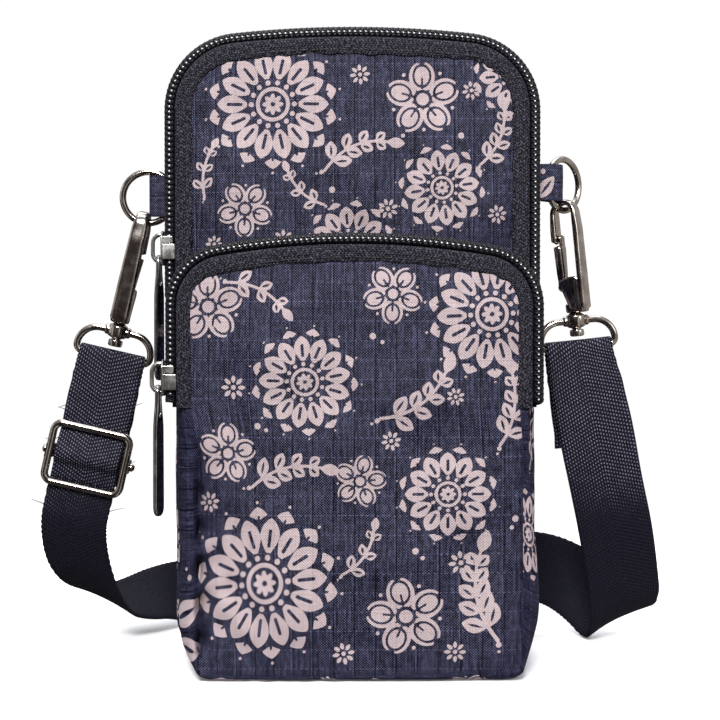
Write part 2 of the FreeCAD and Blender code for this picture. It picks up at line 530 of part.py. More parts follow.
left_fixed, left_turned = hook_place(left_ring_at, 0.0, -V["left_tilt"], V["left_tilt"], 0.0)
right_fixed, right_turned = hook_place(right_ring_at, V["right_ring_lean"], V["right_ring_low"], V["right_tilt"], V["right_turn"])
l_names, l_hook = hook("left", left_fixed, True)
r_names, r_hook = hook("right", right_fixed, False)
doc.recompute()
move(l_names, left_fixed)
move(l_hook, left_turned)
move(r_names, right_fixed)
move(r_hook, right_turned)


# ------------------------------------------------------------------ webbing legs and the put-away roll
def route():
    """Control points of the strap's middle line, each with its width direction, from the left tail to the right tail."""
    bar = V["dee_top"] + V["dee_shoulder"] + V["dee_foot"]
    r = V["fold_inner"] + V["strap_thick"] / 2
    pts = []

    def at(place, s, n):
        return place.multVec(Vector(0, n, -bar - s))

    lw = left_fixed.Rotation.multVec(Vector(1, 0, 0))
    for s, n in ((V["left_tail"], r), (20.0, r), (3.0, r), (-r, r), (-r, -r), (3.0, -r), (22.0, -r), (44.0, -r), (52.0, -r)):
        pts.append((at(left_fixed, s, n), lw))
    for p, w in LEFT_LEG:
        pts.append((Vector(*p), Vector(*w)))
    for p in roll():
        pts.append((p, Vector(0, 0, -1)))
    for p, w in RIGHT_LEG:
        pts.append((Vector(*p), Vector(*w)))
    rw = right_fixed.Rotation.multVec(Vector(-1, 0, 0))
    for s, n in ((3.0, -r), (-r, -r), (-r, r), (3.0, r), (18.0, r), (V["right_tail"], r)):
        pts.append((at(right_fixed, s, n), rw))
    return pts


LEFT_LEG = [
    ((-84.2, 14.5, 27.5), (0.985, -0.05, -0.15)), ((-81.5, 23.0, 17.5), (0.93, -0.3, -0.15)),
    ((-76.5, 32.0, 11.5), (0.75, -0.6, -0.3)), ((-70.0, 40.0, 10.5), (0.5, -0.72, -0.5)),
    ((-63.5, 47.5, 11.2), (0.3, -0.65, -0.7)), ((-57.0, 55.5, 10.8), (0.12, -0.3, -0.95)),
]
RIGHT_LEG = [
    ((15.0, 37.0, 10.6), (0, 0, -1)), ((30.0, 38.5, 14.6), (0.08, 0, -1)), ((44.0, 41.0, 20.0), (-0.15, 0, -0.98)),
    ((56.0, 43.0, 21.8), (-0.35, -0.05, -0.93)), ((66.0, 43.0, 18.8), (-0.5, -0.1, -0.86)),
    ((75.0, 40.5, 12.6), (-0.70, -0.1, -0.70)), ((81.8, 33.0, 4.9), (-0.90, 0, -0.43)),
    ((83.5, 22.0, 12.0), (-0.93, 0, -0.37)), ((80.2, 17.0, 31.0), (-0.955, 0, -0.30)),
    ((76.1, 14.4, 50.0), (-0.975, 0, -0.22)), ((72.2, 13.0, 68.0), (-0.99, 0, -0.14)),
]


def roll():
    """The flat double roll on the floor behind the body: in from the left, across the middle, and out again."""
    yc, core, big, pitch, z = V["roll_middle"], V["roll_core"], V["roll_outer"], V["roll_pitch"], V["roll_height"]

    def at(turned, start):
        rad = big - pitch * turned / 180.0
        a = math.radians(start - turned)
        return Vector((core + rad) * math.cos(a), yc + rad * math.sin(a), z)

    inward = [at(30.0 * k, 90.0) for k in range(-3, 22)]
    outward = [at(30.0 * k, 270.0) for k in range(21, -1, -1)]
    e = inward[-1]
    middle = [Vector(0.8 * e.x, yc + 3.0, z), Vector(0.35 * e.x, yc + 2.0, z), Vector(0, yc, z), Vector(-0.35 * e.x, yc - 2.0, z), Vector(-0.8 * e.x, yc - 3.0, z)]
    return inward + middle + outward


def curve(points, a, b, steps):
    """Points and width directions on the quadratic curve, from corner a to corner b of its control polygon."""
    out = []
    for i in range(a, b):
        p0, p1, p2 = points[i - 1], points[i], points[i + 1]
        for k in range(steps):
            u = k / steps
            q = []
            for j in (0, 1):
                m0, m1 = (p0[j] + p1[j]) * 0.5, (p1[j] + p2[j]) * 0.5
                q.append(m0 * (1 - u) ** 2 + p1[j] * (2 * u * (1 - u)) + m1 * u * u)
            d = ((p1[0] - p0[0]) * (1 - u) + (p2[0] - p1[0]) * u).normalize()
            out.append((q[0], d, q[1]))
    return out


def ribbon(name, sections):
    wires = []
    for p, d, w in sections:
        w = (w - d * w.dot(d)).normalize()
        n = d.cross(w).normalize()
        a, b = w * (V["strap_width"] / 2), n * (V["strap_thick"] / 2)
        wires.append(Part.makePolygon([p + a + b, p - a + b, p - a - b, p + a - b, p + a + b]))
    o = doc.addObject("Part::Feature", name)
    o.Shape = Part.makeLoft(wires, True, True)
    return o


ROUTE = route()
FIRST = 9 + len(LEFT_LEG)
left_sections = curve(ROUTE, 6, FIRST + 2, 3)
left_start = left_fixed.multVec(Vector(0, -(V["fold_inner"] + V["strap_thick"] / 2), -(V["dee_top"] + V["dee_shoulder"] + V["dee_foot"]) - V["fold_stub"]))
ld = left_fixed.Rotation.multVec(Vector(0, 0, -1))
left_sections = [(left_start, ld, left_fixed.Rotation.multVec(Vector(1, 0, 0)))] + [q for q in left_sections if (q[0] - left_start).dot(ld) > 1.0]
last = len(ROUTE) - 6
right_sections = curve(ROUTE, last - len(RIGHT_LEG) - 1, last, 3)
right_start = right_fixed.multVec(Vector(0, -(V["fold_inner"] + V["strap_thick"] / 2), -(V["dee_top"] + V["dee_shoulder"] + V["dee_foot"]) - V["fold_stub"]))
rd = right_fixed.Rotation.multVec(Vector(0, 0, 1))
right_sections = [q for q in right_sections if (q[0] - right_start).dot(rd) < -1.0] + [(right_start, rd, right_fixed.Rotation.multVec(Vector(-1, 0, 0)))]

roll_solid = common("strap_roll_shape",
                    fuse("strap_roll_stadium",
                         box("roll_mid", -S("roll_core"), S("roll_core"), S("roll_middle") - S("roll_outer") - 0.8, S("roll_middle") + S("roll_outer") + 0.8, S("roll_height") - 10.0, S("roll_height") + 10.0),
                         cylinder("roll_left", S("roll_outer") + 0.8, 20.0, -S("roll_core"), S("roll_middle"), S("roll_height")),
                         cylinder("roll_right", S("roll_outer") + 0.8, 20.0, S("roll_core"), S("roll_middle"), S("roll_height"))),
                    box("roll_room", -100.0, 100.0, 0.0, 200.0, -10.0, 60.0))
NODES["strap_roll"] = roll_solid
NODES["strap_left_leg"] = cut("strap_left_leg", ribbon("strap_left_ribbon", left_sections), roll_solid)
NODES["strap_right_leg"] = cut("strap_right_leg", ribbon("strap_right_ribbon", right_sections), roll_solid)

# ------------------------------------------------------------------ check and write
doc.recompute()
bad = []
for o in doc.Objects:
    if "Invalid" in o.State or "Error" in o.State:
        bad.append(o.Name)
if bad:
    raise SystemExit("not solved: " + ", ".join(bad))
for node, o in NODES.items():
    shape = o.Shape
    if shape.isNull() or not shape.isValid() or not shape.Solids:
        raise SystemExit("not a valid solid: " + node)
    solids = shape.Solids
    whole = solids[0] if len(solids) == 1 else Part.Compound(solids)
    whole.exportStep("parts/%s.step" % node)
print(len(NODES), "nodes written")
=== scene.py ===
import bmesh
import bpy
import json
import math
import numpy as np
from mathutils import Matrix, Vector

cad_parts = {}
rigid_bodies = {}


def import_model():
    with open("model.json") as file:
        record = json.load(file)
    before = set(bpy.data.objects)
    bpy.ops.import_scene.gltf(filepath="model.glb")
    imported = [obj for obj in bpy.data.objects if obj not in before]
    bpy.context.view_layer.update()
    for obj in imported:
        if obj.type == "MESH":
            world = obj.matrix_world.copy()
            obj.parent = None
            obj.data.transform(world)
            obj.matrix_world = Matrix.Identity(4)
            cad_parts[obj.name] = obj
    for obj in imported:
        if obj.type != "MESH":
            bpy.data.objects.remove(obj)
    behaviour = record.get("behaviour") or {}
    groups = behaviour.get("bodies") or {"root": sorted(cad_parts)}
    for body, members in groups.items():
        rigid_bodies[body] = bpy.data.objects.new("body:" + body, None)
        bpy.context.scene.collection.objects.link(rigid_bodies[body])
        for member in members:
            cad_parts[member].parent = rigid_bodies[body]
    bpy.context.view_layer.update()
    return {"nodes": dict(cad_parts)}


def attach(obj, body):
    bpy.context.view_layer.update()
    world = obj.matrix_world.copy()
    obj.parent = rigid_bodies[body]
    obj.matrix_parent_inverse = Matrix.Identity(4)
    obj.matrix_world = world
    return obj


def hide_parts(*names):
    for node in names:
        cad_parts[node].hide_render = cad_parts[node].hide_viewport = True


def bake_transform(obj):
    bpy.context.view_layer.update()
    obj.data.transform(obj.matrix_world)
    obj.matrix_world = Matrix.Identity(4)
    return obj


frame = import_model()
NODES = frame["nodes"]
MM = 0.001
PI = math.pi


# ================================================================== numbers
HALF = 52.0
# the filled main body stands 0.9 mm out from its flat cut on each side
SHAPES = {"main": {"half": 53.2, "mid": -0.7, "top": 183.2, "R": 320.0, "r": 21.2}, "pocket": {"half": 51.0, "mid": 0.0, "top": 122.3, "R": 220.0, "r": 16.0}}
for _s in SHAPES.values():
    _s["zc"] = _s["top"] - _s["R"]
    _s["cx"] = _s["half"] - _s["r"]
    _s["cz"] = _s["zc"] + math.sqrt((_s["R"] - _s["r"]) ** 2 - _s["cx"] ** 2)
    _s["lean"] = math.atan2(_s["cz"] - _s["zc"], _s["cx"])
FACE = {"main": -5.2, "pocket": -26.0}
PLANE = {"main": -1.0, "pocket": -21.8}
BAND = {"main": (7.0, 6.9), "pocket": (6.8, 5.9)}     # sewn edge of the tape: over the top, down the sides
LOW = {"main": 110.0, "pocket": 75.0}
ZIP_LOW = {"main": 104.5, "pocket": 75.0}


def smooth(a, b, x):
    t = np.clip((np.asarray(x, float) - a) / (b - a), 0, 1)
    return t * t * (3 - 2 * t)


def wave(x, seed, lo, hi, n=7):
    """A smooth uneven wave of x, about -1 to 1, with wavelengths between lo and hi."""
    g = np.random.default_rng(seed)
    x = np.asarray(x, float)
    out = np.zeros_like(x)
    total = 0.0
    for _ in range(n):
        wl, ph, a = g.uniform(lo, hi), g.uniform(0, 2 * PI), g.uniform(0.5, 1.0)
        out += a * np.sin(2 * PI * x / wl + ph)
        total += a * a
    return out / math.sqrt(2 * total)


def ripple(x, z, seed, lo, hi, n=12, along=None, spread=PI):
    """Uneven ripples over a plane, about -1 to 1."""
    g = np.random.default_rng(seed)
    out = np.zeros(np.broadcast(x, z).shape)
    total = 0.0
    for _ in range(n):
        wl, ph, a = g.uniform(lo, hi), g.uniform(0, 2 * PI), g.uniform(0.5, 1.0)
        d = (along if along is not None else 0.0) + g.uniform(-spread, spread) * 0.5
        out += a * np.sin(2 * PI * (x * math.cos(d) + z * math.sin(d)) / wl + ph)
        total += a * a
    return out / math.sqrt(2 * total)


def resample(x, z, nx, nz, step):
    s = np.concatenate([[0], np.cumsum(np.hypot(np.diff(x), np.diff(z)))])
    n = max(2, int(round(s[-1] / step)) + 1)
    t = np.linspace(0, s[-1], n)
    out = [np.interp(t, s, q) for q in (x, z, nx, nz)]
    ln = np.hypot(out[2], out[3])
    return {"x": out[0], "z": out[1], "nx": out[2] / ln, "nz": out[3] / ln, "s": t}


def arc(cx, cz, r, a0, a1):
    n = max(8, int(abs(a1 - a0) * r / 0.05))
    a = np.linspace(a0, a1, n)
    return cx + r * np.cos(a), cz + r * np.sin(a), np.cos(a), np.sin(a)


def line(x0, z0, x1, z1, nx, nz):
    n = max(2, int(math.hypot(x1 - x0, z1 - z0) / 0.25))
    t = np.linspace(0, 1, n)
    return x0 + (x1 - x0) * t, z0 + (z1 - z0) * t, np.full(n, float(nx)), np.full(n, float(nz))


def join(*pieces):
    cols = [np.concatenate([p[k] for p in pieces]) for k in range(4)]
    keep = np.concatenate([[True], np.hypot(np.diff(cols[0]), np.diff(cols[1])) > 1e-7])
    return [c[keep] for c in cols]


def over_path(which, low, step):
    """The outline from the left side at height low, over the top, to the right side."""
    q = SHAPES[which]
    cx, cz, r, R, zc, a, half = q["cx"], q["cz"], q["r"], q["R"], q["zc"], q["lean"], q["half"]
    parts = [arc(-cx, cz, r, PI, PI - a), arc(0, zc, R, PI - a, a), arc(cx, cz, r, a, 0)]
    if low < cz:
        parts = [line(-half, low, -half, cz, -1, 0)] + parts + [line(half, cz, half, low, 1, 0)]
    way = resample(*join(*parts), step)
    way["x"] = way["x"] + q["mid"]
    return way


def under_path(which, high, step, foot=8.0):
    """The outline from the left side at height high, under the bottom, to the right side."""
    h = SHAPES[which]["half"]
    parts = [line(-h, high, -h, foot, -1, 0), arc(-h + foot, foot, foot, PI, 1.5 * PI),
             line(-h + foot, 0, h - foot, 0, 0, -1), arc(h - foot, foot, foot, 1.5 * PI, 2 * PI), line(h, foot, h, high, 1, 0)]
    way = resample(*join(*parts), step)
    way["x"] = way["x"] + SHAPES[which]["mid"]
    return way


def inset(which, x, z):
    """How far a point lies inside the outline's sides and top."""
    q = SHAPES[which]
    x, z = np.asarray(x, float) - q["mid"], np.asarray(z, float)
    ax = np.abs(x)
    side = q["half"] - ax
    ang = np.arctan2(z - q["cz"], ax - q["cx"])
    corner = q["r"] - np.hypot(ax - q["cx"], z - q["cz"])
    arch = q["R"] - np.hypot(x, z - q["zc"])
    out = np.where(z <= q["cz"], side, np.where((ang >= 0) & (ang <= q["lean"]) & (ax > q["cx"]), corner, np.minimum(side, arch)))
    return np.where((z > q["cz"]) & (ax <= q["cx"]), arch, out)


def band_at(which, nx):
    """Inset of the tape's sewn edge where the outline's outward direction has this sideways part."""
    top, side = BAND[which]
    return top + (side - top) * smooth(0.35, 0.95, np.abs(nx))


def band_over(which, x, z):
    """The same for points of a panel."""
    q = SHAPES[which]
    ax = np.abs(x - q["mid"])
    ang = np.arctan2(np.maximum(z - q["cz"], 0), np.maximum(ax - q["cx"], 1e-6))
    nx = np.where(z <= q["cz"], 1.0, np.where(ax > q["cx"], np.cos(ang), 0.0))
    return band_at(which, nx)


# ================================================================== mesh helpers
def quads(nu, nv, wrap_u=False, wrap_v=False, flip=False, start=0):
    iu = np.arange(nu if wrap_u else nu - 1)
    iv = np.arange(nv if wrap_v else nv - 1)
    U, W = np.meshgrid(iu, iv, indexing="ij")
    a = U * nv + W
    b = ((U + 1) % nu) * nv + W
    c = ((U + 1) % nu) * nv + (W + 1) % nv
    d = U * nv + (W + 1) % nv
    q = np.stack([a, b, c, d], -1).reshape(-1, 4) + start
    return q[:, ::-1] if flip else q


def new_mesh(name, verts, faces, mats, attrs=None, slots=None, smooth_faces=True):
    """A mesh object from points in millimetres."""
    me = bpy.data.meshes.new(name)
    v = np.asarray(verts, float) * MM
    f = np.asarray(faces, int)
    me.vertices.add(len(v))
    me.vertices.foreach_set("co", v.ravel())
    k = f.shape[1]
    me.loops.add(len(f) * k)
    me.loops.foreach_set("vertex_index", f.ravel().astype(np.int32))
    me.polygons.add(len(f))
    me.polygons.foreach_set("loop_start", (np.arange(len(f)) * k).astype(np.int32))
    me.update(calc_edges=True)
    me.validate()
    for m in mats:
        me.materials.append(m)
    if slots is not None:
        me.polygons.foreach_set("material_index", np.asarray(slots, np.int32))
    me.polygons.foreach_set("use_smooth", np.full(len(me.polygons), smooth_faces))
    for key, val in (attrs or {}).items():
        val = np.asarray(val, np.float32)
        if val.ndim == 2:
            at = me.attributes.new(key, "FLOAT_VECTOR", "POINT")
            at.data.foreach_set("vector", val.ravel())
        else:
            at = me.attributes.new(key, "FLOAT", "POINT")
            at.data.foreach_set("value", val)
    me.update()
    ob = bpy.data.objects.new(name, me)
    bpy.context.scene.collection.objects.link(ob)
    return ob


class Build:
    """Collects several sheets of points into one mesh."""

    def __init__(self):
        self.v, self.f, self.slot, self.attr, self.n = [], [], [], {}, 0

    def add(self, verts, faces, slot=0, **attrs):
        verts = np.asarray(verts, float).reshape(-1, 3)
        self.v.append(verts)
        self.f.append(np.asarray(faces, int) + self.n)
        self.slot.append(np.full(len(faces), slot))
        for k, a in attrs.items():
            self.attr.setdefault(k, []).append(np.asarray(a, float).reshape(len(verts), -1).squeeze())
        self.n += len(verts)

    def done(self, name, mats):
        attrs = {k: np.concatenate(a) for k, a in self.attr.items()}
        return new_mesh(name, np.concatenate(self.v), np.concatenate(self.f), mats, attrs, np.concatenate(self.slot))


def cloth_uv(u, v):
    return np.stack([np.ravel(u), np.ravel(v), np.zeros(np.size(u))], -1)


def tube(points, radius, sides=8, closed=False, ref=None, taper=None):
    """Points (n,3) swept with a round section; returns points and faces."""
    P = np.asarray(points, float)
    n = len(P)
    if closed:
        T = np.roll(P, -1, 0) - np.roll(P, 1, 0)
    else:
        T = np.gradient(P, axis=0)
    T /= np.linalg.norm(T, axis=1)[:, None] + 1e-12
    if ref is None:
        N = np.zeros_like(P)
        start = np.array([0.0, 0, 1]) if abs(T[0][2]) < 0.9 else np.array([1.0, 0, 0])
        cur = start - T[0] * T[0].dot(start)
        for i in range(n):
            cur = cur - T[i] * T[i].dot(cur)
            cur /= np.linalg.norm(cur)
            N[i] = cur
    else:
        R = np.broadcast_to(np.asarray(ref, float), P.shape)
        N = R - T * np.sum(R * T, 1)[:, None]
        N /= np.linalg.norm(N, axis=1)[:, None] + 1e-12
    B = np.cross(T, N)
    a = np.arange(sides) * 2 * PI / sides
    rad = np.full(n, radius) if taper is None else radius * np.asarray(taper)
    V = P[:, None, :] + rad[:, None, None] * (np.cos(a)[None, :, None] * N[:, None, :] + np.sin(a)[None, :, None] * B[:, None, :])
    F = [quads(n, sides, wrap_u=closed, wrap_v=True)]
    V = V.reshape(-1, 3)
    if not closed:
        V = np.concatenate([V, P[:1], P[-1:]])
        i = np.arange(sides)
        j = (i + 1) % sides
        c0, c1 = n * sides, n * sides + 1
        e = (n - 1) * sides
        F.append(np.stack([np.full(sides, c0), j, i, i], -1))
        F.append(np.stack([np.full(sides, c1), e + i, e + j, e + j], -1))
    return V, np.concatenate(F)


def clean(ob, dist=1e-7):
    """Welds end caps and drops faces with no area."""
    import bmesh
    bm = bmesh.new()
    bm.from_mesh(ob.data)
    bmesh.ops.remove_doubles(bm, verts=bm.verts, dist=dist)
    bmesh.ops.dissolve_degenerate(bm, dist=dist, edges=bm.edges)
    bmesh.ops.recalc_face_normals(bm, faces=bm.faces)
    bm.to_mesh(ob.data)
    bm.free()
    return ob


# ================================================================== the print: own rosettes, blossoms, sprigs and stars
def almond(P, a, b, w, sharp=0.8):
    a, b = np.asarray(a, float), np.asarray(b, float)
    d = b - a
    ln = math.hypot(*d)
    d = d / ln
    q = P - a
    t = (q @ d) / ln
    v = np.abs(q[:, 0] * -d[1] + q[:, 1] * d[0])
    hw = w * np.sin(PI * np.clip(t, 0, 1)) ** sharp
    return hw - v - ln * np.maximum(0, np.maximum(-t, t - 1))


def disc(P, c, r):
    return r - np.hypot(P[:, 0] - c[0], P[:, 1] - c[1])


def rosette(P, c, R, rot=0.0, n=14):
    q = P - np.asarray(c)
    r = np.hypot(q[:, 0], q[:, 1])
    th = np.arctan2(q[:, 1], q[:, 0]) - rot
    step = 2 * PI / n

    def fan(off, r0, r1, share, line_w, tip):
        d = (th + off + step / 2) % step - step / 2
        u, v = r * np.cos(d), np.abs(r * np.sin(d))
        t = np.clip((u - r0) / (r1 - r0), 0, 1)
        w = share * 0.5 * (r0 + r1) * math.tan(step / 2)
        hw = w * np.sin(PI * t ** 1.25) ** 0.72
        petal = hw - v - np.maximum(0, np.maximum(r0 - u, u - r1))
        rib = np.minimum(line_w - v, np.minimum(u - r0 - 0.22 * (r1 - r0), r1 - tip * (r1 - r0) - u))
        return np.minimum(petal, -rib)

    k = 0.55 + 0.45 * R / 15.0
    back = fan(step / 2, 0.55 * R, R, 0.88, 0.30 * k, 0.26)
    front = fan(0.0, 0.36 * R, 0.86 * R, 0.98, 0.42 * k, 0.30)
    gap = fan(0.0, 0.33 * R, 0.86 * R + 1.1 * k, 0.98 + 1.5 * k / (0.61 * R * math.tan(step / 2)), -1.0, 0.5)
    out = np.maximum(np.minimum(back, -gap), front)
    # between the petals and the eye: a plain ground with a ring of beads
    out = np.minimum(out, r - 0.40 * R)
    m = n
    d = (th + PI / m) % (2 * PI / m) - PI / m
    out = np.maximum(out, 0.040 * R - np.hypot(r * np.cos(d) - 0.335 * R, r * np.sin(d)))
    rim = 0.5 * (0.265 - 0.205) * R - np.abs(r - 0.235 * R)
    d8 = (th + PI / 8) % (PI / 4) - PI / 8
    petal = 0.036 * R - np.hypot((r * np.cos(d8) - 0.10 * R) * 0.55, r * np.sin(d8))
    out = np.maximum(out, np.maximum(rim, petal))
    beads = (th + step / 2 + PI / n) % step - step / 2
    return np.maximum(out, 0.022 * R - np.hypot(r * np.cos(beads) - 1.06 * R, r * np.sin(beads)))


def blossom(P, c, R, rot=0.0):
    q = P - np.asarray(c)
    r = np.hypot(q[:, 0], q[:, 1])
    th = np.arctan2(q[:, 1], q[:, 0]) - rot
    step = 2 * PI / 5
    d = (th + step / 2) % step - step / 2
    u, v = r * np.cos(d), r * np.sin(d)
    k = R / 9.0
    e = np.sqrt(((u - 0.60 * R) / (0.40 * R)) ** 2 + (v / (0.345 * R)) ** 2)
    petal = (1 - e) * 0.36 * R
    petal = np.minimum(petal, np.hypot(u - 1.07 * R, v) - 0.14 * R)
    e2 = np.sqrt(((u - 0.62 * R) / (0.285 * R)) ** 2 + (v / (0.225 * R)) ** 2)
    trim = (0.16 + 0.14 * k) - np.abs((1 - e2) * 0.24 * R)
    petal = np.minimum(petal, -trim)
    hair = np.minimum(0.30 - np.abs(v), np.minimum(u - 0.26 * R, 0.58 * R - u))
    petal = np.minimum(petal, -hair)
    out = np.minimum(petal, r - 0.25 * R)
    out = np.maximum(out, 0.165 * R - r)
    d10 = (th + step / 2 + PI / 5) % step - step / 2
    return np.maximum(out, 0.05 * R - np.hypot(r * np.cos(d10) - 0.82 * R, r * np.sin(d10)))


def sprig(P, c, length, turn, bend=0.55, leaves=5):
    ca, sa = math.cos(turn), math.sin(turn)
    q = P - np.asarray(c)
    L = np.stack([(q[:, 0] * ca + q[:, 1] * sa) / length + 0.5, (-q[:, 0] * sa + q[:, 1] * ca) / length], -1)
    out = np.full(len(P), -9.0)

    def mid(t):
        return np.array([t, bend * 0.5 * (t - t * t) * 2])

    prev = mid(0.0)
    for i in range(1, 13):
        cur = mid(i / 12)
        d = cur - prev
        t = np.clip(((L - prev) @ d) / (d @ d), 0, 1)
        w = max(0.38 / length, 0.022 - 0.008 * i / 12)
        out = np.maximum(out, w - np.hypot(*(L - prev - t[:, None] * d).T))
        prev = cur
    for i in range(leaves):
        t = 0.14 + 0.68 * i / max(1, leaves - 1)
        p = mid(t)
        g = mid(t + 0.02) - mid(t - 0.02)
        h = math.atan2(g[1], g[0])
        size = 0.30 * (1 - 0.45 * i / leaves)
        for side in (-1, 1):
            a = h + side * (0.78 - 0.05 * i)
            tip = p + size * np.array([math.cos(a), math.sin(a)])
            base = p + 0.035 * np.array([math.cos(a), math.sin(a)])
            leaf = almond(L, base, tip, 0.085 * (1 - 0.3 * i / leaves))
            vein = almond(L, base + 0.12 * (tip - base), base + 0.80 * (tip - base), 0.36 / length)
            out = np.maximum(out, np.minimum(leaf, -vein))
    tip = mid(1.0)
    g = mid(1.0) - mid(0.96)
    g = g / math.hypot(*g)
    out = np.maximum(out, almond(L, tip - 0.02 * g, tip + 0.24 * g, 0.075))
    out = np.maximum(out, np.maximum(disc(L, mid(0.0) - np.array([0.05, 0.0]), 0.032), disc(L, mid(0.0) - np.array([0.125, -0.01]), 0.02)))
    return out * length


def star(P, c, R, rot=0.0):
    q = P - np.asarray(c)
    r = np.hypot(q[:, 0], q[:, 1])
    th = np.arctan2(q[:, 1], q[:, 0]) - rot
    step = 2 * PI / 8
    d = (th + step / 2) % step - step / 2
    u, v = r * np.cos(d), np.abs(r * np.sin(d))
    t = np.clip((u - 0.34 * R) / (0.66 * R), 0, 1)
    out = 0.17 * R * np.sin(PI * t) ** 0.7 - v - np.maximum(0, np.maximum(0.34 * R - u, u - R))
    return np.maximum(out, 0.2 * R - r)


def leaf(P, c, R, rot=0.0):
    """One broad leaf with an open vein."""
    d = np.array([math.cos(rot), math.sin(rot)])
    c = np.asarray(c, float)
    body = almond(P, c - R * d, c + R * d, 0.50 * R)
    vein = almond(P, c - 0.62 * R * d, c + 0.70 * R * d, 0.11 * R)
    return np.minimum(body, -vein)


KIND = {"leaf": (leaf, 1.1), "rosette": (rosette, 1.12), "blossom": (blossom, 1.05), "sprig": (sprig, 0.95), "star": (star, 1.05), "dot": (disc, 1.1)}


def ink(x, z, motifs):
    """How far inside the print a point lies, in millimetres."""
    P = np.stack([np.ravel(x), np.ravel(z)], -1).astype(float)
    out = np.full(len(P), -6.0)
    for m in motifs:
        f, reach = KIND[m[0]]
        c, R = np.array(m[1], float), m[2]
        near = np.hypot(P[:, 0] - c[0], P[:, 1] - c[1]) < reach * R + 0.8
        if near.any():
            out[near] = np.maximum(out[near], f(P[near], c, R, *m[3:]))
    return np.clip(out, -2.0, 2.0)


POCKET_PRINT = [
    ("rosette", (-25.5, 27.5), 21.0, 0.10, 14), ("rosette", (25.0, 52.0), 13.2, 0.0, 12), ("rosette", (-13.5, 82.5), 14.6, 0.2, 13), ("rosette", (37.5, 101.0), 17.5, 0.05, 14),
    ("blossom", (14.0, 18.5), 11.0, 0.55), ("blossom", (-36.5, 63.0), 8.6, 0.2), ("blossom", (10.5, 106.5), 8.4, 0.9), ("blossom", (1.5, 55.5), 7.4, 1.35), ("blossom", (-40.0, 103.0), 9.8, 0.35),
    ("sprig", (36.0, 24.0), 25.0, 1.75, 0.55, 5), ("sprig", (16.0, 79.0), 22.0, 0.62, -0.6, 4), ("sprig", (-19.0, 56.5), 21.0, 0.25, 0.5, 4), ("sprig", (-27.0, 106.0), 17.0, -0.45, 0.5, 3),
    ("sprig", (1.0, 36.0), 15.0, 0.95, -0.5, 3), ("sprig", (41.0, 75.0), 20.0, 1.35, -0.5, 4),
    ("star", (28.5, 33.0), 3.4, 0.1), ("star", (10.0, 66.5), 2.8, 0.2), ("star", (-33.0, 81.0), 3.4, 0.0), ("star", (27.5, 78.5), 2.6, 0.3), ("star", (-42.0, 49.5), 3.0, 0.2), ("star", (27.0, 8.5), 3.0, 0.0), ("star", (-3.0, 8.0), 3.2, 0.2),
    ("dot", (5.0, 95.0), 0.9), ("dot", (7.6, 93.4), 0.6), ("dot", (-27.0, 70.5), 0.9), ("dot", (-24.6, 69.4), 0.6), ("dot", (16.5, 36.5), 0.9), ("dot", (18.4, 34.6), 0.6), ("dot", (43.0, 45.0), 0.9), ("dot", (42.0, 42.6), 0.6),
]
MAIN_PRINT = [
    ("rosette", (-23.5, 161.5), 18.6, 0.0, 14), ("rosette", (25.0, 137.5), 12.6, 0.15, 12), ("rosette", (-1.5, 121.0), 13.0, 0.1, 12), ("rosette", (46.0, 170.0), 12.0, 0.1, 12),
    ("blossom", (19.5, 163.0), 10.8, 0.35), ("blossom", (-31.5, 131.5), 8.2, 0.9), ("blossom", (42.0, 112.0), 8.0, 0.4), ("blossom", (-40.5, 109.0), 8.0, 0.1),
    ("sprig", (0.5, 146.5), 20.0, 0.42, 0.6, 4), ("sprig", (39.5, 152.0), 17.0, 1.15, -0.5, 4), ("sprig", (-14.0, 137.5), 14.0, 2.4, 0.5, 3), ("sprig", (-42.0, 142.0), 14.0, 1.4, 0.4, 3),
    ("star", (1.5, 170.0), 3.0, 0.1), ("star", (9.5, 131.5), 3.0, 0.3), ("star", (-20.5, 122.5), 3.2, 0.0), ("star", (33.5, 165.5), 2.8, 0.2), ("star", (-40.5, 121.5), 2.6, 0.0), ("star", (41.0, 130.0), 2.8, 0.2),
    ("dot", (12.0, 150.5), 0.9), ("dot", (13.8, 152.4), 0.6), ("dot", (-6.5, 137.0), 0.9), ("dot", (30.5, 152.5), 0.9),
]


def scatter(seed, x0, x1, z0, z1, big=16.0):
    """A seeded layout of the same motifs for the cloth that the front doesn't show."""
    g = np.random.default_rng(seed)
    placed = []
    for kind, sizes, tries in (("rosette", (big, 0.62 * big), 60), ("blossom", (9.5, 7.6), 120), ("sprig", (19.0, 15.0), 160), ("star", (3.2, 2.6), 220), ("dot", (0.9, 0.6), 160)):
        for k in range(tries):
            R = sizes[k % 2]
            c = (g.uniform(x0, x1), g.uniform(z0, z1))
            reach = R * (0.55 if kind == "sprig" else 1.0)
            if all(math.hypot(c[0] - p[1][0], c[1] - p[1][1]) > reach + p[3] + 2.2 for p in placed):
                placed.append((kind, c, R, reach, g.uniform(0, PI)))
    out = []
    for kind, c, R, _, a in placed:
        if kind == "rosette":
            out.append((kind, c, R, a, 14 if R > 12 else 12))
        elif kind == "sprig":
            out.append((kind, c, R, a, 0.55, 4))
        elif kind == "dot":
            out.append((kind, c, R))
        else:
            out.append((kind, c, R, a))
    return out


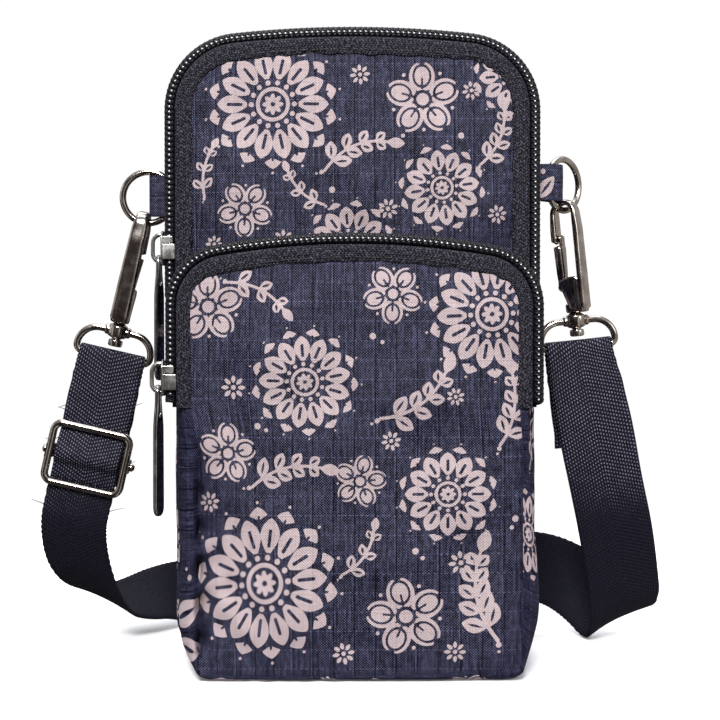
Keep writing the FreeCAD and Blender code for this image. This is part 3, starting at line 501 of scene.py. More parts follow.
# ================================================================== materials
class Mat:
    """A small writer for node materials."""

    def __init__(self, name):
        self.m = bpy.data.materials.new(name)
        self.m.use_nodes = True
        self.t = self.m.node_tree
        self.t.nodes.clear()
        out = self.t.nodes.new("ShaderNodeOutputMaterial")
        self.p = self.t.nodes.new("ShaderNodeBsdfPrincipled")
        self.t.links.new(self.p.outputs[0], out.inputs[0])

    def put(self, sock, v):
        if isinstance(v, Sock):
            self.t.links.new(v.s, sock)
        elif isinstance(v, bpy.types.NodeSocket):
            self.t.links.new(v, sock)
        elif v is not None:
            if hasattr(sock.default_value, "__len__") and not hasattr(v, "__len__"):
                v = (v, v, v, 1.0)[: len(sock.default_value)]
            if hasattr(v, "__len__") and len(v) == 3 and len(sock.default_value) == 4:
                v = (*v, 1.0)
            sock.default_value = v

    def set(self, **kw):
        for k, v in kw.items():
            self.put(self.p.inputs[k.replace("_", " ")], v)
        return self

    def math(self, op, *a, clamp=False):
        n = self.t.nodes.new("ShaderNodeMath")
        n.operation = op
        n.use_clamp = clamp
        for i, v in enumerate(a):
            self.put(n.inputs[i], v)
        return Sock(self, n.outputs[0])

    def attr(self, name, out="Fac"):
        n = self.t.nodes.new("ShaderNodeAttribute")
        n.attribute_type = "GEOMETRY"
        n.attribute_name = name
        return Sock(self, n.outputs[out])

    def xyz(self, v):
        n = self.t.nodes.new("ShaderNodeSeparateXYZ")
        self.put(n.inputs[0], v)
        return [Sock(self, o) for o in n.outputs]

    def vec(self, x, y, z=0.0):
        n = self.t.nodes.new("ShaderNodeCombineXYZ")
        for i, v in enumerate((x, y, z)):
            self.put(n.inputs[i], v)
        return Sock(self, n.outputs[0])

    def noise(self, v, scale, detail=2.0, rough=0.5):
        n = self.t.nodes.new("ShaderNodeTexNoise")
        self.put(n.inputs["Vector"], v)
        n.inputs["Scale"].default_value = scale
        n.inputs["Detail"].default_value = detail
        n.inputs["Roughness"].default_value = rough
        return Sock(self, n.outputs["Fac"] if "Fac" in n.outputs else n.outputs[0])

    def place(self):
        n = self.t.nodes.new("ShaderNodeTexCoord")
        return Sock(self, n.outputs["Object"])

    def step(self, x, a, b, to0=0.0, to1=1.0):
        n = self.t.nodes.new("ShaderNodeMapRange")
        n.interpolation_type = "SMOOTHSTEP"
        for i, v in enumerate((x, a, b, to0, to1)):
            self.put(n.inputs[i], v)
        return Sock(self, n.outputs[0])

    def mix(self, f, a, b, kind="MIX"):
        n = self.t.nodes.new("ShaderNodeMix")
        n.data_type = "RGBA"
        n.blend_type = kind
        self.put(n.inputs[0], f)
        self.put(n.inputs[6], a)
        self.put(n.inputs[7], b)
        return Sock(self, n.outputs[2])

    def bump(self, h, distance, strength=1.0, normal=None):
        n = self.t.nodes.new("ShaderNodeBump")
        n.inputs["Strength"].default_value = strength
        n.inputs["Distance"].default_value = distance
        self.put(n.inputs["Height"], h)
        if normal is not None:
            self.put(n.inputs["Normal"], normal)
        return Sock(self, n.outputs[0])


class Sock:
    def __init__(self, mat, s):
        self.mat, self.s = mat, s

    def __add__(self, o): return self.mat.math("ADD", self, o)
    __radd__ = __add__
    def __sub__(self, o): return self.mat.math("SUBTRACT", self, o)
    def __rsub__(self, o): return self.mat.math("SUBTRACT", o, self)
    def __mul__(self, o): return self.mat.math("MULTIPLY", self, o)
    __rmul__ = __mul__
    def __truediv__(self, o): return self.mat.math("DIVIDE", self, o)
    def sin(self): return self.mat.math("SINE", self)
    def abs(self): return self.mat.math("ABSOLUTE", self)
    def fract(self): return self.mat.math("FRACT", self)
    def floor(self): return self.mat.math("FLOOR", self)
    def max(self, o): return self.mat.math("MAXIMUM", self, o)
    def min(self, o): return self.mat.math("MINIMUM", self, o)


NAVY_DARK = (0.0010, 0.0010, 0.0056)
NAVY_LIT = (0.0800, 0.0800, 0.1500)
PINK = (0.440, 0.362, 0.372)
PINK_DARK = (0.300, 0.232, 0.238)


def weave_cloth(name, printed=True, rough=0.5, lit=NAVY_LIT, gloss=0.13):
    """Ripstop: a fine plain weave with a raised thread grid about every 5.5 mm, and a print from the mesh's own ink value."""
    M = Mat(name)
    u, v, _ = M.xyz(M.attr("cloth", "Vector"))
    warp = (u * (2 * PI / 0.76)).sin()
    weft = (v * (2 * PI / 0.72)).sin()
    over = warp * weft
    slub_u = M.noise(M.vec(u * 1.9, v * 0.09), 1.0, 3.0)
    slub_v = M.noise(M.vec(u * 0.10, v * 2.2), 1.0, 3.0)
    gu = ((u / 5.7).fract() - 0.5).abs()
    gl = ((u / 5.7 + 0.075).fract() - 0.5).abs()
    gv = ((v / 5.3 + 0.31).fract() - 0.5).abs()
    line_u = M.step(gu, 0.450, 0.488)
    lit_u = M.step(gl, 0.462, 0.492)
    line_v = M.step(gv, 0.455, 0.492)
    dash = M.step((u * (2 * PI / 1.52)).sin(), -0.2, 0.5)
    grain = M.noise(M.vec(u, v * 0.6), 0.95, 2.0)
    tone = over * 0.95 + (slub_u - 0.5) * 2.00 + (slub_v - 0.5) * 0.70 + (grain - 0.5) * 1.30 + line_v * dash * 0.85 + lit_u * 0.30 - line_u * 0.60
    base = M.mix(M.step(tone, -0.10, 0.90), NAVY_DARK, lit)
    height = over * 0.6 + line_u * 0.45 + line_v * 0.5 + (slub_u + slub_v) * 0.5
    if printed:
        edge = M.attr("ink") + over * 0.035 + (slub_v - 0.5) * 0.05
        f = M.step(edge, -0.07, 0.07)
        blush = M.noise(M.vec(u, v), 0.09, 2.0)
        pk = M.mix(M.step(over * 0.55 + (slub_u - 0.5) * 1.2 + (slub_v - 0.5) * 0.8 + blush * 0.6 - line_u * 0.2, -0.45, 0.9), PINK_DARK, PINK)
        base = M.mix(f, base, pk)
    crush = M.noise(M.vec(u, v), 0.13, 3.0, 0.55)
    slack = M.noise(M.vec(u * 1.3, v * 0.7), 0.040, 1.0)
    M.set(Base_Color=base, Roughness=M.step(slub_u + over * 0.1, 0.2, 0.8, rough - 0.12, rough + 0.04))
    b1 = M.bump(crush, 0.0010, 0.45, M.bump(slack, 0.0060, 0.55))
    M.put(M.p.inputs["Normal"], M.bump(height, 0.00011, 0.9, b1))
    M.p.inputs["Specular IOR Level"].default_value = gloss
    M.p.inputs["Sheen Weight"].default_value = 0.0
    M.p.inputs["Sheen Roughness"].default_value = 0.4
    return M.m


def lining_cloth():
    M = Mat("lining_cloth")
    u, v, _ = M.xyz(M.attr("cloth", "Vector"))
    t = (u * (PI / 0.3)).sin() * (v * (PI / 0.3)).sin()
    fold = M.noise(M.vec(u, v), 0.12, 4.0, 0.6)
    # The colour follows the fold bumps, lighter on their crests and darker in their troughs: painted shade in the
    # creases.
    M.set(Base_Color=M.mix(M.step(fold + t * 0.08, 0.25, 0.8), (0.010, 0.0105, 0.016), (0.030, 0.031, 0.042)), Roughness=M.step(fold, 0.2, 0.8, 0.42, 0.6))
    M.put(M.p.inputs["Normal"], M.bump(t, 0.00005, 0.7, M.bump(fold, 0.0016, 0.6)))
    return M.m


def tape_cloth():
    """Knitted zip tape: fine ribs by the row and a herringbone towards the sewn edge. cloth = (along, across) in mm."""
    M = Mat("zip_tape")
    u, v, _ = M.xyz(M.attr("cloth", "Vector"))
    zig = ((v / 1.9).fract() - 0.5).abs() * 2.0
    chev = ((u / 0.98 + zig * 0.95) * (2 * PI)).sin()
    ribs = (u * (2 * PI / 0.80)).sin()
    rows = (v * (2 * PI / 0.62)).sin()
    mixv = M.step(v, 2.4, 3.6)
    knit = ribs * (1.0 - mixv) + chev * mixv
    fuzz = M.noise(M.vec(u, v), 2.6, 3.0)
    grain = M.noise(M.vec(u, v), 1.15, 2.0)
    tone = knit * 0.26 + rows * 0.12 + (fuzz - 0.5) * 2.2 + (grain - 0.5) * 2.4 + 0.20
    M.set(Base_Color=M.mix(M.step(tone, 0.0, 1.05), (0.0012, 0.0012, 0.0030), (0.0720, 0.0690, 0.0960)), Roughness=M.step(fuzz, 0.3, 0.7, 0.62, 0.8))
    M.put(M.p.inputs["Normal"], M.bump(knit * 0.6 + rows * 0.35 + fuzz * 0.6, 0.00013, 0.9))
    M.p.inputs["Specular IOR Level"].default_value = 0.16
    M.p.inputs["Sheen Weight"].default_value = 0.0
    return M.m


def webbing():
    """Herringbone webbing: floats stepped towards the middle line. cloth = (across from the middle, along) in mm."""
    M = Mat("webbing")
    u, v, _ = M.xyz(M.attr("cloth", "Vector"))
    au = u.abs()
    p, L = 0.74, 1.16
    col = (au / p).floor()
    w = (au / p).fract()
    ph = (v / L + col * 0.30).fract()
    ridge = (w * PI).sin()
    t = M.step(ph, 0.0, 0.14) * (1.0 - M.step(ph, 0.46, 0.66))
    fine = (u * (2 * PI / 0.34)).sin()
    fuzz = M.noise(M.vec(u, v), 1.7, 3.0)
    patch = M.noise(M.vec(u, v * 0.6), 0.42, 2.0)
    wear = M.noise(M.vec(u, v), 0.05, 2.0)
    h = ridge * (0.10 + 0.90 * t)
    # Below about 5 cm the strap's colour fades towards its dark base and its dots dim: painted shade on the strap's
    # lower part.
    _, _, high = M.xyz(M.place())
    low_shade = M.step(high, 0.034, 0.062, 0.30, 1.0)
    # The raised floats are painted a light blue-grey against the near-black ground: painted highlights on the weave.
    tone = (h * ridge * (0.52 + patch * 0.8) + fine * 0.05 + (fuzz - 0.5) * 0.8 + (wear - 0.5) * 0.30) * low_shade
    M.set(Base_Color=M.mix(M.step(tone, 0.22, 1.05), (0.0034, 0.0032, 0.0090), (0.150, 0.144, 0.190)), Roughness=M.step(tone, 0.1, 0.9, 0.66, 0.40))
    M.put(M.p.inputs["Normal"], M.bump(h + fine * 0.04 + fuzz * 0.2, 0.00024, 0.95))
    M.p.inputs["Specular IOR Level"].default_value = 0.13
    return M.m


def row_nylon():
    M = Mat("zip_row")
    q = M.noise(M.place(), 900.0, 2.0)
    M.set(Base_Color=M.mix(M.step(q, 0.3, 0.7), (0.0020, 0.0020, 0.0036), (0.0062, 0.0060, 0.0095)), Roughness=M.step(q, 0.3, 0.7, 0.34, 0.48))
    M.p.inputs["Specular IOR Level"].default_value = 0.22
    return M.m


def mottled_mat(name, dark, light):
    M = Mat(name)
    q = M.noise(M.place(), 2600.0, 2.0)
    M.set(Base_Color=M.mix(M.step(q, 0.3, 0.7), dark, light), Roughness=M.step(q, 0.3, 0.7, 0.55, 0.75))
    M.put(M.p.inputs["Normal"], M.bump(q, 0.00006, 0.6))
    return M.m


def metal(name, tint, dull, rough, mottled=0.25, bump=0.00002):
    """Plated metal with faint polishing marks, a little tarnish and dust in its colour."""
    M = Mat(name)
    P = M.place()
    a = M.noise(P, 260.0, 4.0, 0.6)
    fine = M.noise(P, 2400.0, 2.0, 0.6)
    x, y, z = M.xyz(P)
    hair = M.noise(M.vec(x * 5200.0, y * 5200.0, z * 260.0), 1.0, 2.0)
    f = M.step(a + (fine - 0.5) * 0.4, 0.35, 0.75)
    M.set(Metallic=1.0, Base_Color=M.mix(f, dull, tint), Roughness=M.step(a * 0.6 + hair * 0.4, 0.25, 0.75, rough * (1 - mottled), rough * (1 + 1.6 * mottled)))
    M.put(M.p.inputs["Normal"], M.bump(hair * 0.5 + fine * 0.5, bump, 0.5))
    return M.m


PRINT = weave_cloth("print_cloth")
PLAIN = weave_cloth("plain_cloth", printed=False, lit=(0.0300, 0.0295, 0.0560))
LINING = lining_cloth()
TAPE = tape_cloth()
WEB = webbing()
ROW = row_nylon()
# Pale grey dots for the zip rows' crests: painted highlights for the glint on the nylon turns.
GLINT_DOT = mottled_mat("row_glint", (0.55, 0.55, 0.58), (0.80, 0.80, 0.83))
THREAD = mottled_mat("black_thread", (0.004, 0.004, 0.005), (0.020, 0.020, 0.024))
NICKEL = metal("nickel", (0.54, 0.50, 0.455), (0.33, 0.29, 0.26), 0.15)
SLIDER = metal("slider_metal", (0.62, 0.61, 0.595), (0.36, 0.35, 0.335), 0.26)
GUN = metal("pull_metal", (0.46, 0.45, 0.455), (0.26, 0.245, 0.25), 0.17, 0.35)
STEEL = metal("spring_steel", (0.55, 0.55, 0.56), (0.40, 0.40, 0.41), 0.3)
PRINTED = [PRINT, LINING]
SIDES = [weave_cloth("print_cloth_side", rough=0.74, lit=(0.0640, 0.0640, 0.1260), gloss=0.06), LINING]
BACKS = [weave_cloth("print_cloth_back", rough=0.74, gloss=0.06), LINING]


# ================================================================== camera
cam_data = bpy.data.cameras.new("camera")
cam = bpy.data.objects.new("camera", cam_data)
bpy.context.scene.collection.objects.link(cam)
cam.location = (0.0015, -0.420, 0.095)
cam.rotation_euler = (math.radians(90 - 0.95), 0, 0)
cam_data.lens, cam_data.sensor_width, cam_data.clip_start = 72.0, 36.0, 0.01
bpy.context.scene.camera = cam


# ================================================================== the strap: one length of flat webbing
def turn_y(deg):
    a = math.radians(deg)
    return np.array([[math.cos(a), 0, math.sin(a)], [0, 1, 0], [-math.sin(a), 0, math.cos(a)]])


RING_R = 7.65
LEFT_RING = np.array([-HALF - 2.2 - RING_R, 12.0, 136.5])
_a, _b = math.radians(20.0), math.radians(45.0)
RIGHT_RING = np.array([HALF + 5.6 * math.cos(_a) + RING_R * math.cos(_b), 7.0 + 5.6 * math.sin(_a) + RING_R * math.sin(_b), 140.5])


def hook_place(ring, lean, low, tilt):
    a, b, t = math.radians(low), math.radians(lean), math.radians(tilt)
    held = ring + RING_R * np.array([math.sin(a) * math.cos(b), math.sin(a) * math.sin(b), -math.cos(a)])
    return turn_y(tilt), held - 31.0 * np.array([math.sin(t), 0, math.cos(t)])


LEFT_HOOK = hook_place(LEFT_RING, 0.0, -13.0, 13.0)
RIGHT_HOOK = hook_place(RIGHT_RING, 45.0, 5.0, -6.0)

LEFT_LEG = [
    ((-84.2, 14.5, 27.5), (0.985, -0.05, -0.15)), ((-81.5, 23.0, 17.5), (0.93, -0.3, -0.15)),
    ((-76.5, 32.0, 11.5), (0.75, -0.6, -0.3)), ((-70.0, 40.0, 10.5), (0.5, -0.72, -0.5)),
    ((-63.5, 47.5, 11.2), (0.3, -0.65, -0.7)), ((-57.0, 55.5, 10.8), (0.12, -0.3, -0.95)),
]
RIGHT_LEG = [
    ((15.0, 37.0, 10.6), (0, 0, -1)), ((30.0, 38.5, 14.6), (0.08, 0, -1)), ((44.0, 41.0, 20.0), (-0.15, 0, -0.98)),
    ((56.0, 43.0, 21.8), (-0.35, -0.05, -0.93)), ((66.0, 43.0, 18.8), (-0.5, -0.1, -0.86)),
    ((75.0, 40.5, 12.6), (-0.70, -0.1, -0.70)), ((81.8, 33.0, 4.9), (-0.90, 0, -0.43)),
    ((83.5, 22.0, 12.0), (-0.93, 0, -0.37)), ((80.2, 17.0, 31.0), (-0.955, 0, -0.30)),
    ((76.1, 14.4, 50.0), (-0.975, 0, -0.22)), ((72.2, 13.0, 68.0), (-0.99, 0, -0.14)),
]


def strap_route():
    """Control points of the strap's middle line and its width direction at each, from the left tail to the right tail."""
    r, bar = 1.7, 10.4
    pts = []

    def end(place, pairs, sign):
        rot, at = place
        for s, n in pairs:
            pts.append((at + rot @ np.array([0, n, -bar - s]), rot @ np.array([sign, 0, 0])))

    end(LEFT_HOOK, ((38, r), (20, r), (3, r), (-r, r), (-r, -r), (3, -r), (22, -r), (44, -r), (52, -r)), 1.0)
    pts.extend((np.array(p), np.array(w)) for p, w in LEFT_LEG)
    yc, core, big, pitch, z = 69.0, 14.0, 33.0, 7.8, 10.2

    def at(turned, start):
        rad = big - pitch * turned / 180.0
        a = math.radians(start - turned)
        return np.array([(core + rad) * math.cos(a), yc + rad * math.sin(a), z])

    inward = [at(30.0 * k, 90.0) for k in range(-3, 22)]
    outward = [at(30.0 * k, 270.0) for k in range(21, -1, -1)]
    e = inward[-1][0]
    middle = [np.array(q) for q in ((0.8 * e, yc + 3, z), (0.35 * e, yc + 2, z), (0, yc, z), (-0.35 * e, yc - 2, z), (-0.8 * e, yc - 3, z))]
    pts.extend((p, np.array([0, 0, -1.0])) for p in inward + middle + outward)
    pts.extend((np.array(p), np.array(w)) for p, w in RIGHT_LEG)
    end(RIGHT_HOOK, ((3, -r), (-r, -r), (-r, r), (3, r), (18, r), (30, r)), -1.0)
    return pts


def nurbs(points):
    """Points along a smooth curve with these control points."""
    cu = bpy.data.curves.new("route", "CURVE")
    cu.dimensions = "3D"
    cu.resolution_u = 14
    sp = cu.splines.new("NURBS")
    sp.points.add(len(points) - 1)
    for q, p in zip(sp.points, points):
        q.co = (*p, 1.0)
    sp.order_u = 3
    sp.use_endpoint_u = True
    ob = bpy.data.objects.new("route", cu)
    bpy.context.scene.collection.objects.link(ob)
    bpy.context.view_layer.update()
    me = bpy.data.meshes.new_from_object(ob)
    out = np.array([v.co for v in me.vertices], float)
    bpy.data.objects.remove(ob)
    bpy.data.meshes.remove(me)
    bpy.data.curves.remove(cu)
    return out


ROUTE = strap_route()
MID = nurbs([p * MM for p, _ in ROUTE]) / MM
EDGE = nurbs([(p + 10.0 * w / np.linalg.norm(w)) * MM for p, w in ROUTE]) / MM
keep = np.concatenate([[True], np.linalg.norm(np.diff(MID, axis=0), axis=1) > 1e-4])
MID, EDGE = MID[keep], EDGE[keep]
STRAP_S = np.concatenate([[0], np.cumsum(np.linalg.norm(np.diff(MID, axis=0), axis=1))])
tan = np.gradient(MID, axis=0)
tan /= np.linalg.norm(tan, axis=1)[:, None]
wid = EDGE - MID
wid -= tan * np.sum(wid * tan, 1)[:, None]
wid /= np.linalg.norm(wid, axis=1)[:, None]
nor = np.cross(tan, wid)
STRAP_FRAME = (MID, tan, wid, nor, STRAP_S)


def strap_mesh():
    th = 0.65
    back = STRAP_S[-1] - STRAP_S
    half = 10.0 + 1.1 * smooth(36.0, 50.0, back) * smooth(215.0, 185.0, back)
    across = np.linspace(-0.955, 0.955, 13)
    sect = [(a, 1.0) for a in across] + [(0.985, 0.72), (1.0, 0.0), (0.985, -0.72)] + [(a, -1.0) for a in across[::-1]] + [(-0.985, -0.72), (-1.0, 0.0), (-0.985, 0.72)]
    n, k = len(MID), len(sect)
    V = np.zeros((n, k, 3))
    UV = np.zeros((n, k, 3))
    scal = 0.13 * np.sin(2 * PI * STRAP_S / 1.35)
    drift_l, drift_r = 0.18 * wave(STRAP_S, 3, 25, 70), 0.18 * wave(STRAP_S, 4, 25, 70)
    for j, (a, b) in enumerate(sect):
        e = abs(a)
        grow = (scal + (drift_r if a > 0 else drift_l)) * (e > 0.9)
        sag = 0.10 * np.cos(a * PI * 0.5) * wave(STRAP_S, 9, 40, 90)
        V[:, j] = MID + wid * (a * half + np.sign(a) * grow)[:, None] + nor * (b * th * (1.0 if e < 0.96 else 0.9) + sag)[:, None]
        UV[:, j, 0] = a * 10.0
        UV[:, j, 1] = STRAP_S
    b = Build()
    b.add(V, quads(n, k, wrap_v=True), cloth=UV.reshape(-1, 3))
    for row, flip in ((0, False), (n - 1, True)):
        idx = np.arange(k)
        top, low = idx[:13], idx[16:29][::-1]
        cap = np.stack([top[:-1], top[1:], low[1:], low[:-1]], -1)
        b.add(V[row], cap if flip else cap[:, ::-1], cloth=UV[row])
    return b.done("strap", [WEB])


strap = strap_mesh()
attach(strap, "pouch")
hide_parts("strap_left_loop", "strap_right_loop", "strap_left_leg", "strap_right_leg", "strap_roll")


# ================================================================== cloth panels
def columns(which, edge, step):
    """Column positions from the left to the right side, closer together round the top corners."""
    q = SHAPES[which]
    r = q["r"] - edge
    flat = np.arange(0, q["cx"] + r * 0.35, step)
    a0 = math.asin(0.35)
    ang = np.linspace(a0, PI / 2, max(6, int((PI / 2 - a0) * r / step)))
    right = np.concatenate([flat[:-1], q["cx"] + r * np.sin(ang)])
    return np.concatenate([-right[:0:-1], right]) + q["mid"]


def top_at(which, x, edge):
    """Height of the outline's inset top edge above x."""
    q = SHAPES[which]
    ax = np.abs(x - q["mid"])
    R, r = q["R"] - edge, q["r"] - edge
    xt = q["cx"] + r * math.cos(q["lean"])
    arch = q["zc"] + np.sqrt(np.maximum(R * R - ax * ax, 0))
    corner = q["cz"] + np.sqrt(np.maximum(r * r - np.maximum(ax - q["cx"], 0) ** 2, 0))
    return np.where(ax <= xt, arch, corner)


SEAM_X = SHAPES["pocket"]["half"] - BAND["pocket"][1]
SEAM_R = 1.8


def bottom_seam(x):
    """Height of the pocket front's bottom seam: a little higher at the right."""
    x = np.asarray(x, float)
    z = 1.7 + 1.9 * smooth(2, 45, x) + 0.25 * wave(x, 21, 20, 50)
    over = np.clip(np.abs(x) - (SEAM_X - SEAM_R), 0, SEAM_R)
    return np.maximum(z, 0.25) + SEAM_R - np.sqrt(np.maximum(SEAM_R ** 2 - over ** 2, 0))


def seam_shift(X, Z):
    """Below the zip both side seams stand a little further right, the right one more."""
    low = smooth(80, 62, Z)
    return X + 1.1 * low * smooth(10, 44.3, X) + 2.3 * low * smooth(-10, -44.3, X)


def foot_in(z, big=14.0, small=8.0):
    """How much further in a larger foot corner lies than a smaller one."""
    z = np.clip(z, 0, big)
    return big - np.sqrt(big ** 2 - (big - z) ** 2) - np.where(z < small, small - np.sqrt(np.maximum(small ** 2 - (small - z) ** 2, 0)), 0)


def body_shift(X, Z):
    """The main body narrows below the zip and has softer foot corners."""
    low = smooth(106, 82, Z)
    x = X + 2.9 * low * smooth(-28, -50, X) - 1.2 * low * smooth(28, 50, X)
    return x - np.sign(X) * smooth(34, 44.5, np.abs(X)) * foot_in(Z)


def tuck(X, Z):
    """How deep the left seam is drawn in, unevenly along its length."""
    return (3.4 + 2.2 * wave(Z - 0.3 * X, 517, 9, 17)) * smooth(72, 50, Z) * smooth(1, 8, Z)


def spline(points, u):
    """A smooth line through points, at fractions u of its length."""
    P = np.asarray(points, float)
    t = np.concatenate([[0], np.cumsum(np.linalg.norm(np.diff(P, axis=0), axis=1))])
    t /= t[-1]
    m = np.gradient(P, t, axis=0)
    i = np.clip(np.searchsorted(t, u, side="right") - 1, 0, len(t) - 2)
    h = (t[i + 1] - t[i])[:, None]
    w = ((u - t[i]) / (t[i + 1] - t[i]))[:, None]
    return (2 * w ** 3 - 3 * w ** 2 + 1) * P[i] + (w ** 3 - 2 * w ** 2 + w) * h * m[i] + (3 * w ** 2 - 2 * w ** 3) * P[i + 1] + (w ** 3 - w ** 2) * h * m[i + 1]


def pucker(s, d, seed, amp, reach, lo=5.0, hi=11.0):
    """Gathers that run in from a seam: s along it, d away from it."""
    w = wave(s, seed, lo, hi, 9)
    strength = 0.55 + 0.45 * wave(s, seed + 50, 30, 70, 5)
    return amp * w * strength * np.exp(-np.maximum(d, 0) / reach) * smooth(-0.2, 1.2, d)


def panel(which, motifs, low_fn, name, seed):
    edge = BAND[which][1] - 0.5
    step = 0.385
    xs = columns(which, edge, step)
    zt = top_at(which, xs, edge)
    zb = low_fn(xs)
    rows = int(np.max(zt - zb) / step)
    v = np.linspace(0, 1, rows)
    X = np.repeat(xs[:, None], rows, 1)
    Z = zb[:, None] + (zt - zb)[:, None] * v[None, :]
    d_tape = inset(which, X, Z) - band_over(which, X, Z)
    Y = np.full_like(X, FACE[which])
    if which == "pocket":
        d_seam = np.minimum(np.minimum(SEAM_X - np.abs(X), Z - bottom_seam(X)), 40.0)
        upper = smooth(70, 80, Z)
        d = d_tape * upper + np.minimum(d_seam, d_tape + 40 * (1 - upper)) * (1 - upper)
        d = np.where(Z < 70, np.minimum(d_seam, d_tape + 30), d)
        d = np.maximum(d, -1.0)
        crown = 2.6 * (1 - (X / 50.0) ** 2) * np.sin(PI * np.clip(Z / 122.0, 0, 1)) ** 0.6
        lift = 0.75 * (1 - np.exp(-np.maximum(d, 0) / 2.2))
        Y = Y + 0.15 - lift - crown * smooth(-1, 14, d)
        Y -= pucker(Z - 0.35 * X, X + SEAM_X, seed, 1.9, 5.0, 8.0, 14.0) * smooth(80, 60, Z) * smooth(1, 6, Z)
        Y += tuck(X, Z) * np.exp(-np.maximum(X + SEAM_X, 0) / 2.3)
        Y -= pucker(Z + 0.3 * X, SEAM_X - X, seed + 1, 0.50, 4.0, 7.0, 14.0) * smooth(86, 70, Z) * smooth(2, 8, Z)
        Y += 0.9 * np.exp(-np.maximum(SEAM_X - X, 0) / 1.2) * smooth(76, 60, Z) * smooth(1, 8, Z)
        Y -= pucker(X, d_tape, seed + 2, 0.34, 5.0, 7, 14) * smooth(92, 104, Z)
        Y -= pucker(X, Z - bottom_seam(X), seed + 3, 0.30, 3.5, 7, 14) * smooth(44, 40, np.abs(X))
    else:
        d = np.maximum(d_tape, -1.0)
        crown = 1.5 * (1 - (X / 50.0) ** 2) * smooth(176, 140, Z)
        Y = Y + 0.20 - 0.55 * (1 - np.exp(-np.maximum(d, 0) / 2.0)) - crown * smooth(-1, 14, d)
        Y -= pucker(X + 0.6 * Z, d_tape, seed, 0.34, 5.5, 7, 14) * smooth(100, 126, Z)
        # a soft dent where the cloth turns down behind the pocket
        Y += 1.6 * smooth(134, 118, Z)
    Y -= 0.80 * ripple(X, Z, seed + 7, 20, 46) * smooth(0, 9, d)
    Y -= 0.20 * ripple(X, Z, seed + 8, 8, 16) * smooth(0, 6, d)
    if which == "pocket":
        # diagonal drag lines near the lower corners and under the zip
        fold = ripple(X, Z, seed + 11, 9, 16, 8, along=0.9, spread=0.5)
        Y -= 0.75 * fold * np.exp(-(((X + 36) / 12) ** 2 + ((Z - 20) / 22) ** 2))
        Y -= 0.75 * ripple(X, Z, seed + 12, 9, 15, 8, along=2.2, spread=0.5) * np.exp(-(((X + 18) / 16) ** 2 + ((Z - 107) / 7) ** 2))
    b = Build()
    nu, nv = X.shape
    flat, value = cloth_uv(X, Z), ink(X, Z, motifs)
    if which == "pocket":
        X = seam_shift(X, Z)
    b.add(np.stack([X, Y, Z], -1), quads(nu, nv), 0, cloth=flat, ink=value)
    # the lining on the back of the cloth
    k = 4
    iu, iv = np.unique(np.append(np.arange(0, nu, k), nu - 1)), np.unique(np.append(np.arange(0, nv, k), nv - 1))
    Xs, Ys, Zs = X[np.ix_(iu, iv)], Y[np.ix_(iu, iv)], Z[np.ix_(iu, iv)]
    back = np.maximum(Ys + 0.55, FACE[which] + 0.5)
    if which == "pocket":
        back = back + 1.4 * np.exp(-(Xs - np.min(Xs)) / 4.0) * smooth(76, 64, Zs)
    b.add(np.stack([Xs, back, Zs], -1), quads(len(iu), len(iv), flip=True), 1, cloth=cloth_uv(Xs, Zs), ink=np.full(Xs.size, -2.0))
    return b, (xs, zb)


def fold_blend(ob):
    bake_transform(ob)


pocket_b, _ = panel("pocket", POCKET_PRINT, bottom_seam, "pocket_front", 101)
pocket_front = pocket_b.done("pocket_front", PRINTED)
fold_blend(pocket_front)
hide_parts("pocket_front_panel", "pocket_flap_panel")

main_b, _ = panel("main", MAIN_PRINT, lambda x: np.full_like(x, 96.0), "main_front", 202)
xs = np.linspace(-50.8, 50.8, 40)
zs = np.linspace(1.6, 97.0, 38)
Xl, Zl = np.meshgrid(xs, zs, indexing="ij")
Yl = -4.2 + 0.2 * ripple(Xl, Zl, 77, 20, 50)
Xl = body_shift(Xl, Zl)
main_b.add(np.stack([Xl, Yl, Zl], -1), quads(*Xl.shape), 0, cloth=cloth_uv(Xl, Zl), ink=np.full(Xl.size, -2.0))
main_front = main_b.done("main_front", PRINTED)
fold_blend(main_front)
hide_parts("main_front_panel", "main_flap_panel")


# ================================================================== zips
def band_mesh(path, profile, wobble=None, seed=0):
    """A closed band along a path from a profile of (inset, y) points; returns points, faces and cloth coordinates."""
    n, k = len(path["x"]), len(profile)
    V = np.zeros((n, k, 3))
    UV = np.zeros((n, k, 3))
    run = 0.0
    for j, (d, y) in enumerate(profile):
        if j:
            run += math.hypot(d - profile[j - 1][0], y - profile[j - 1][1])
        dd, yy = np.full(n, float(d)), np.full(n, float(y))
        if wobble is not None:
            od, oy = wobble(path, d, y, j)
            dd, yy = dd + od, yy + oy
        V[:, j, 0] = path["x"] - path["nx"] * dd
        V[:, j, 1] = yy
        V[:, j, 2] = path["z"] - path["nz"] * dd
        UV[:, j, 0] = path["s"]
        UV[:, j, 1] = run
    return V, UV


def end_caps(b, V, UV, **extra):
    n, k = V.shape[:2]
    m = k // 2
    i = np.arange(m - 1)
    for row, flip in ((0, True), (n - 1, False)):
        f = np.stack([i, i + 1, k - 2 - i, k - 1 - i], -1)
        b.add(V[row], f[:, ::-1] if flip else f, cloth=UV[row], **{q: np.full(k, val) for q, val in extra.items()})


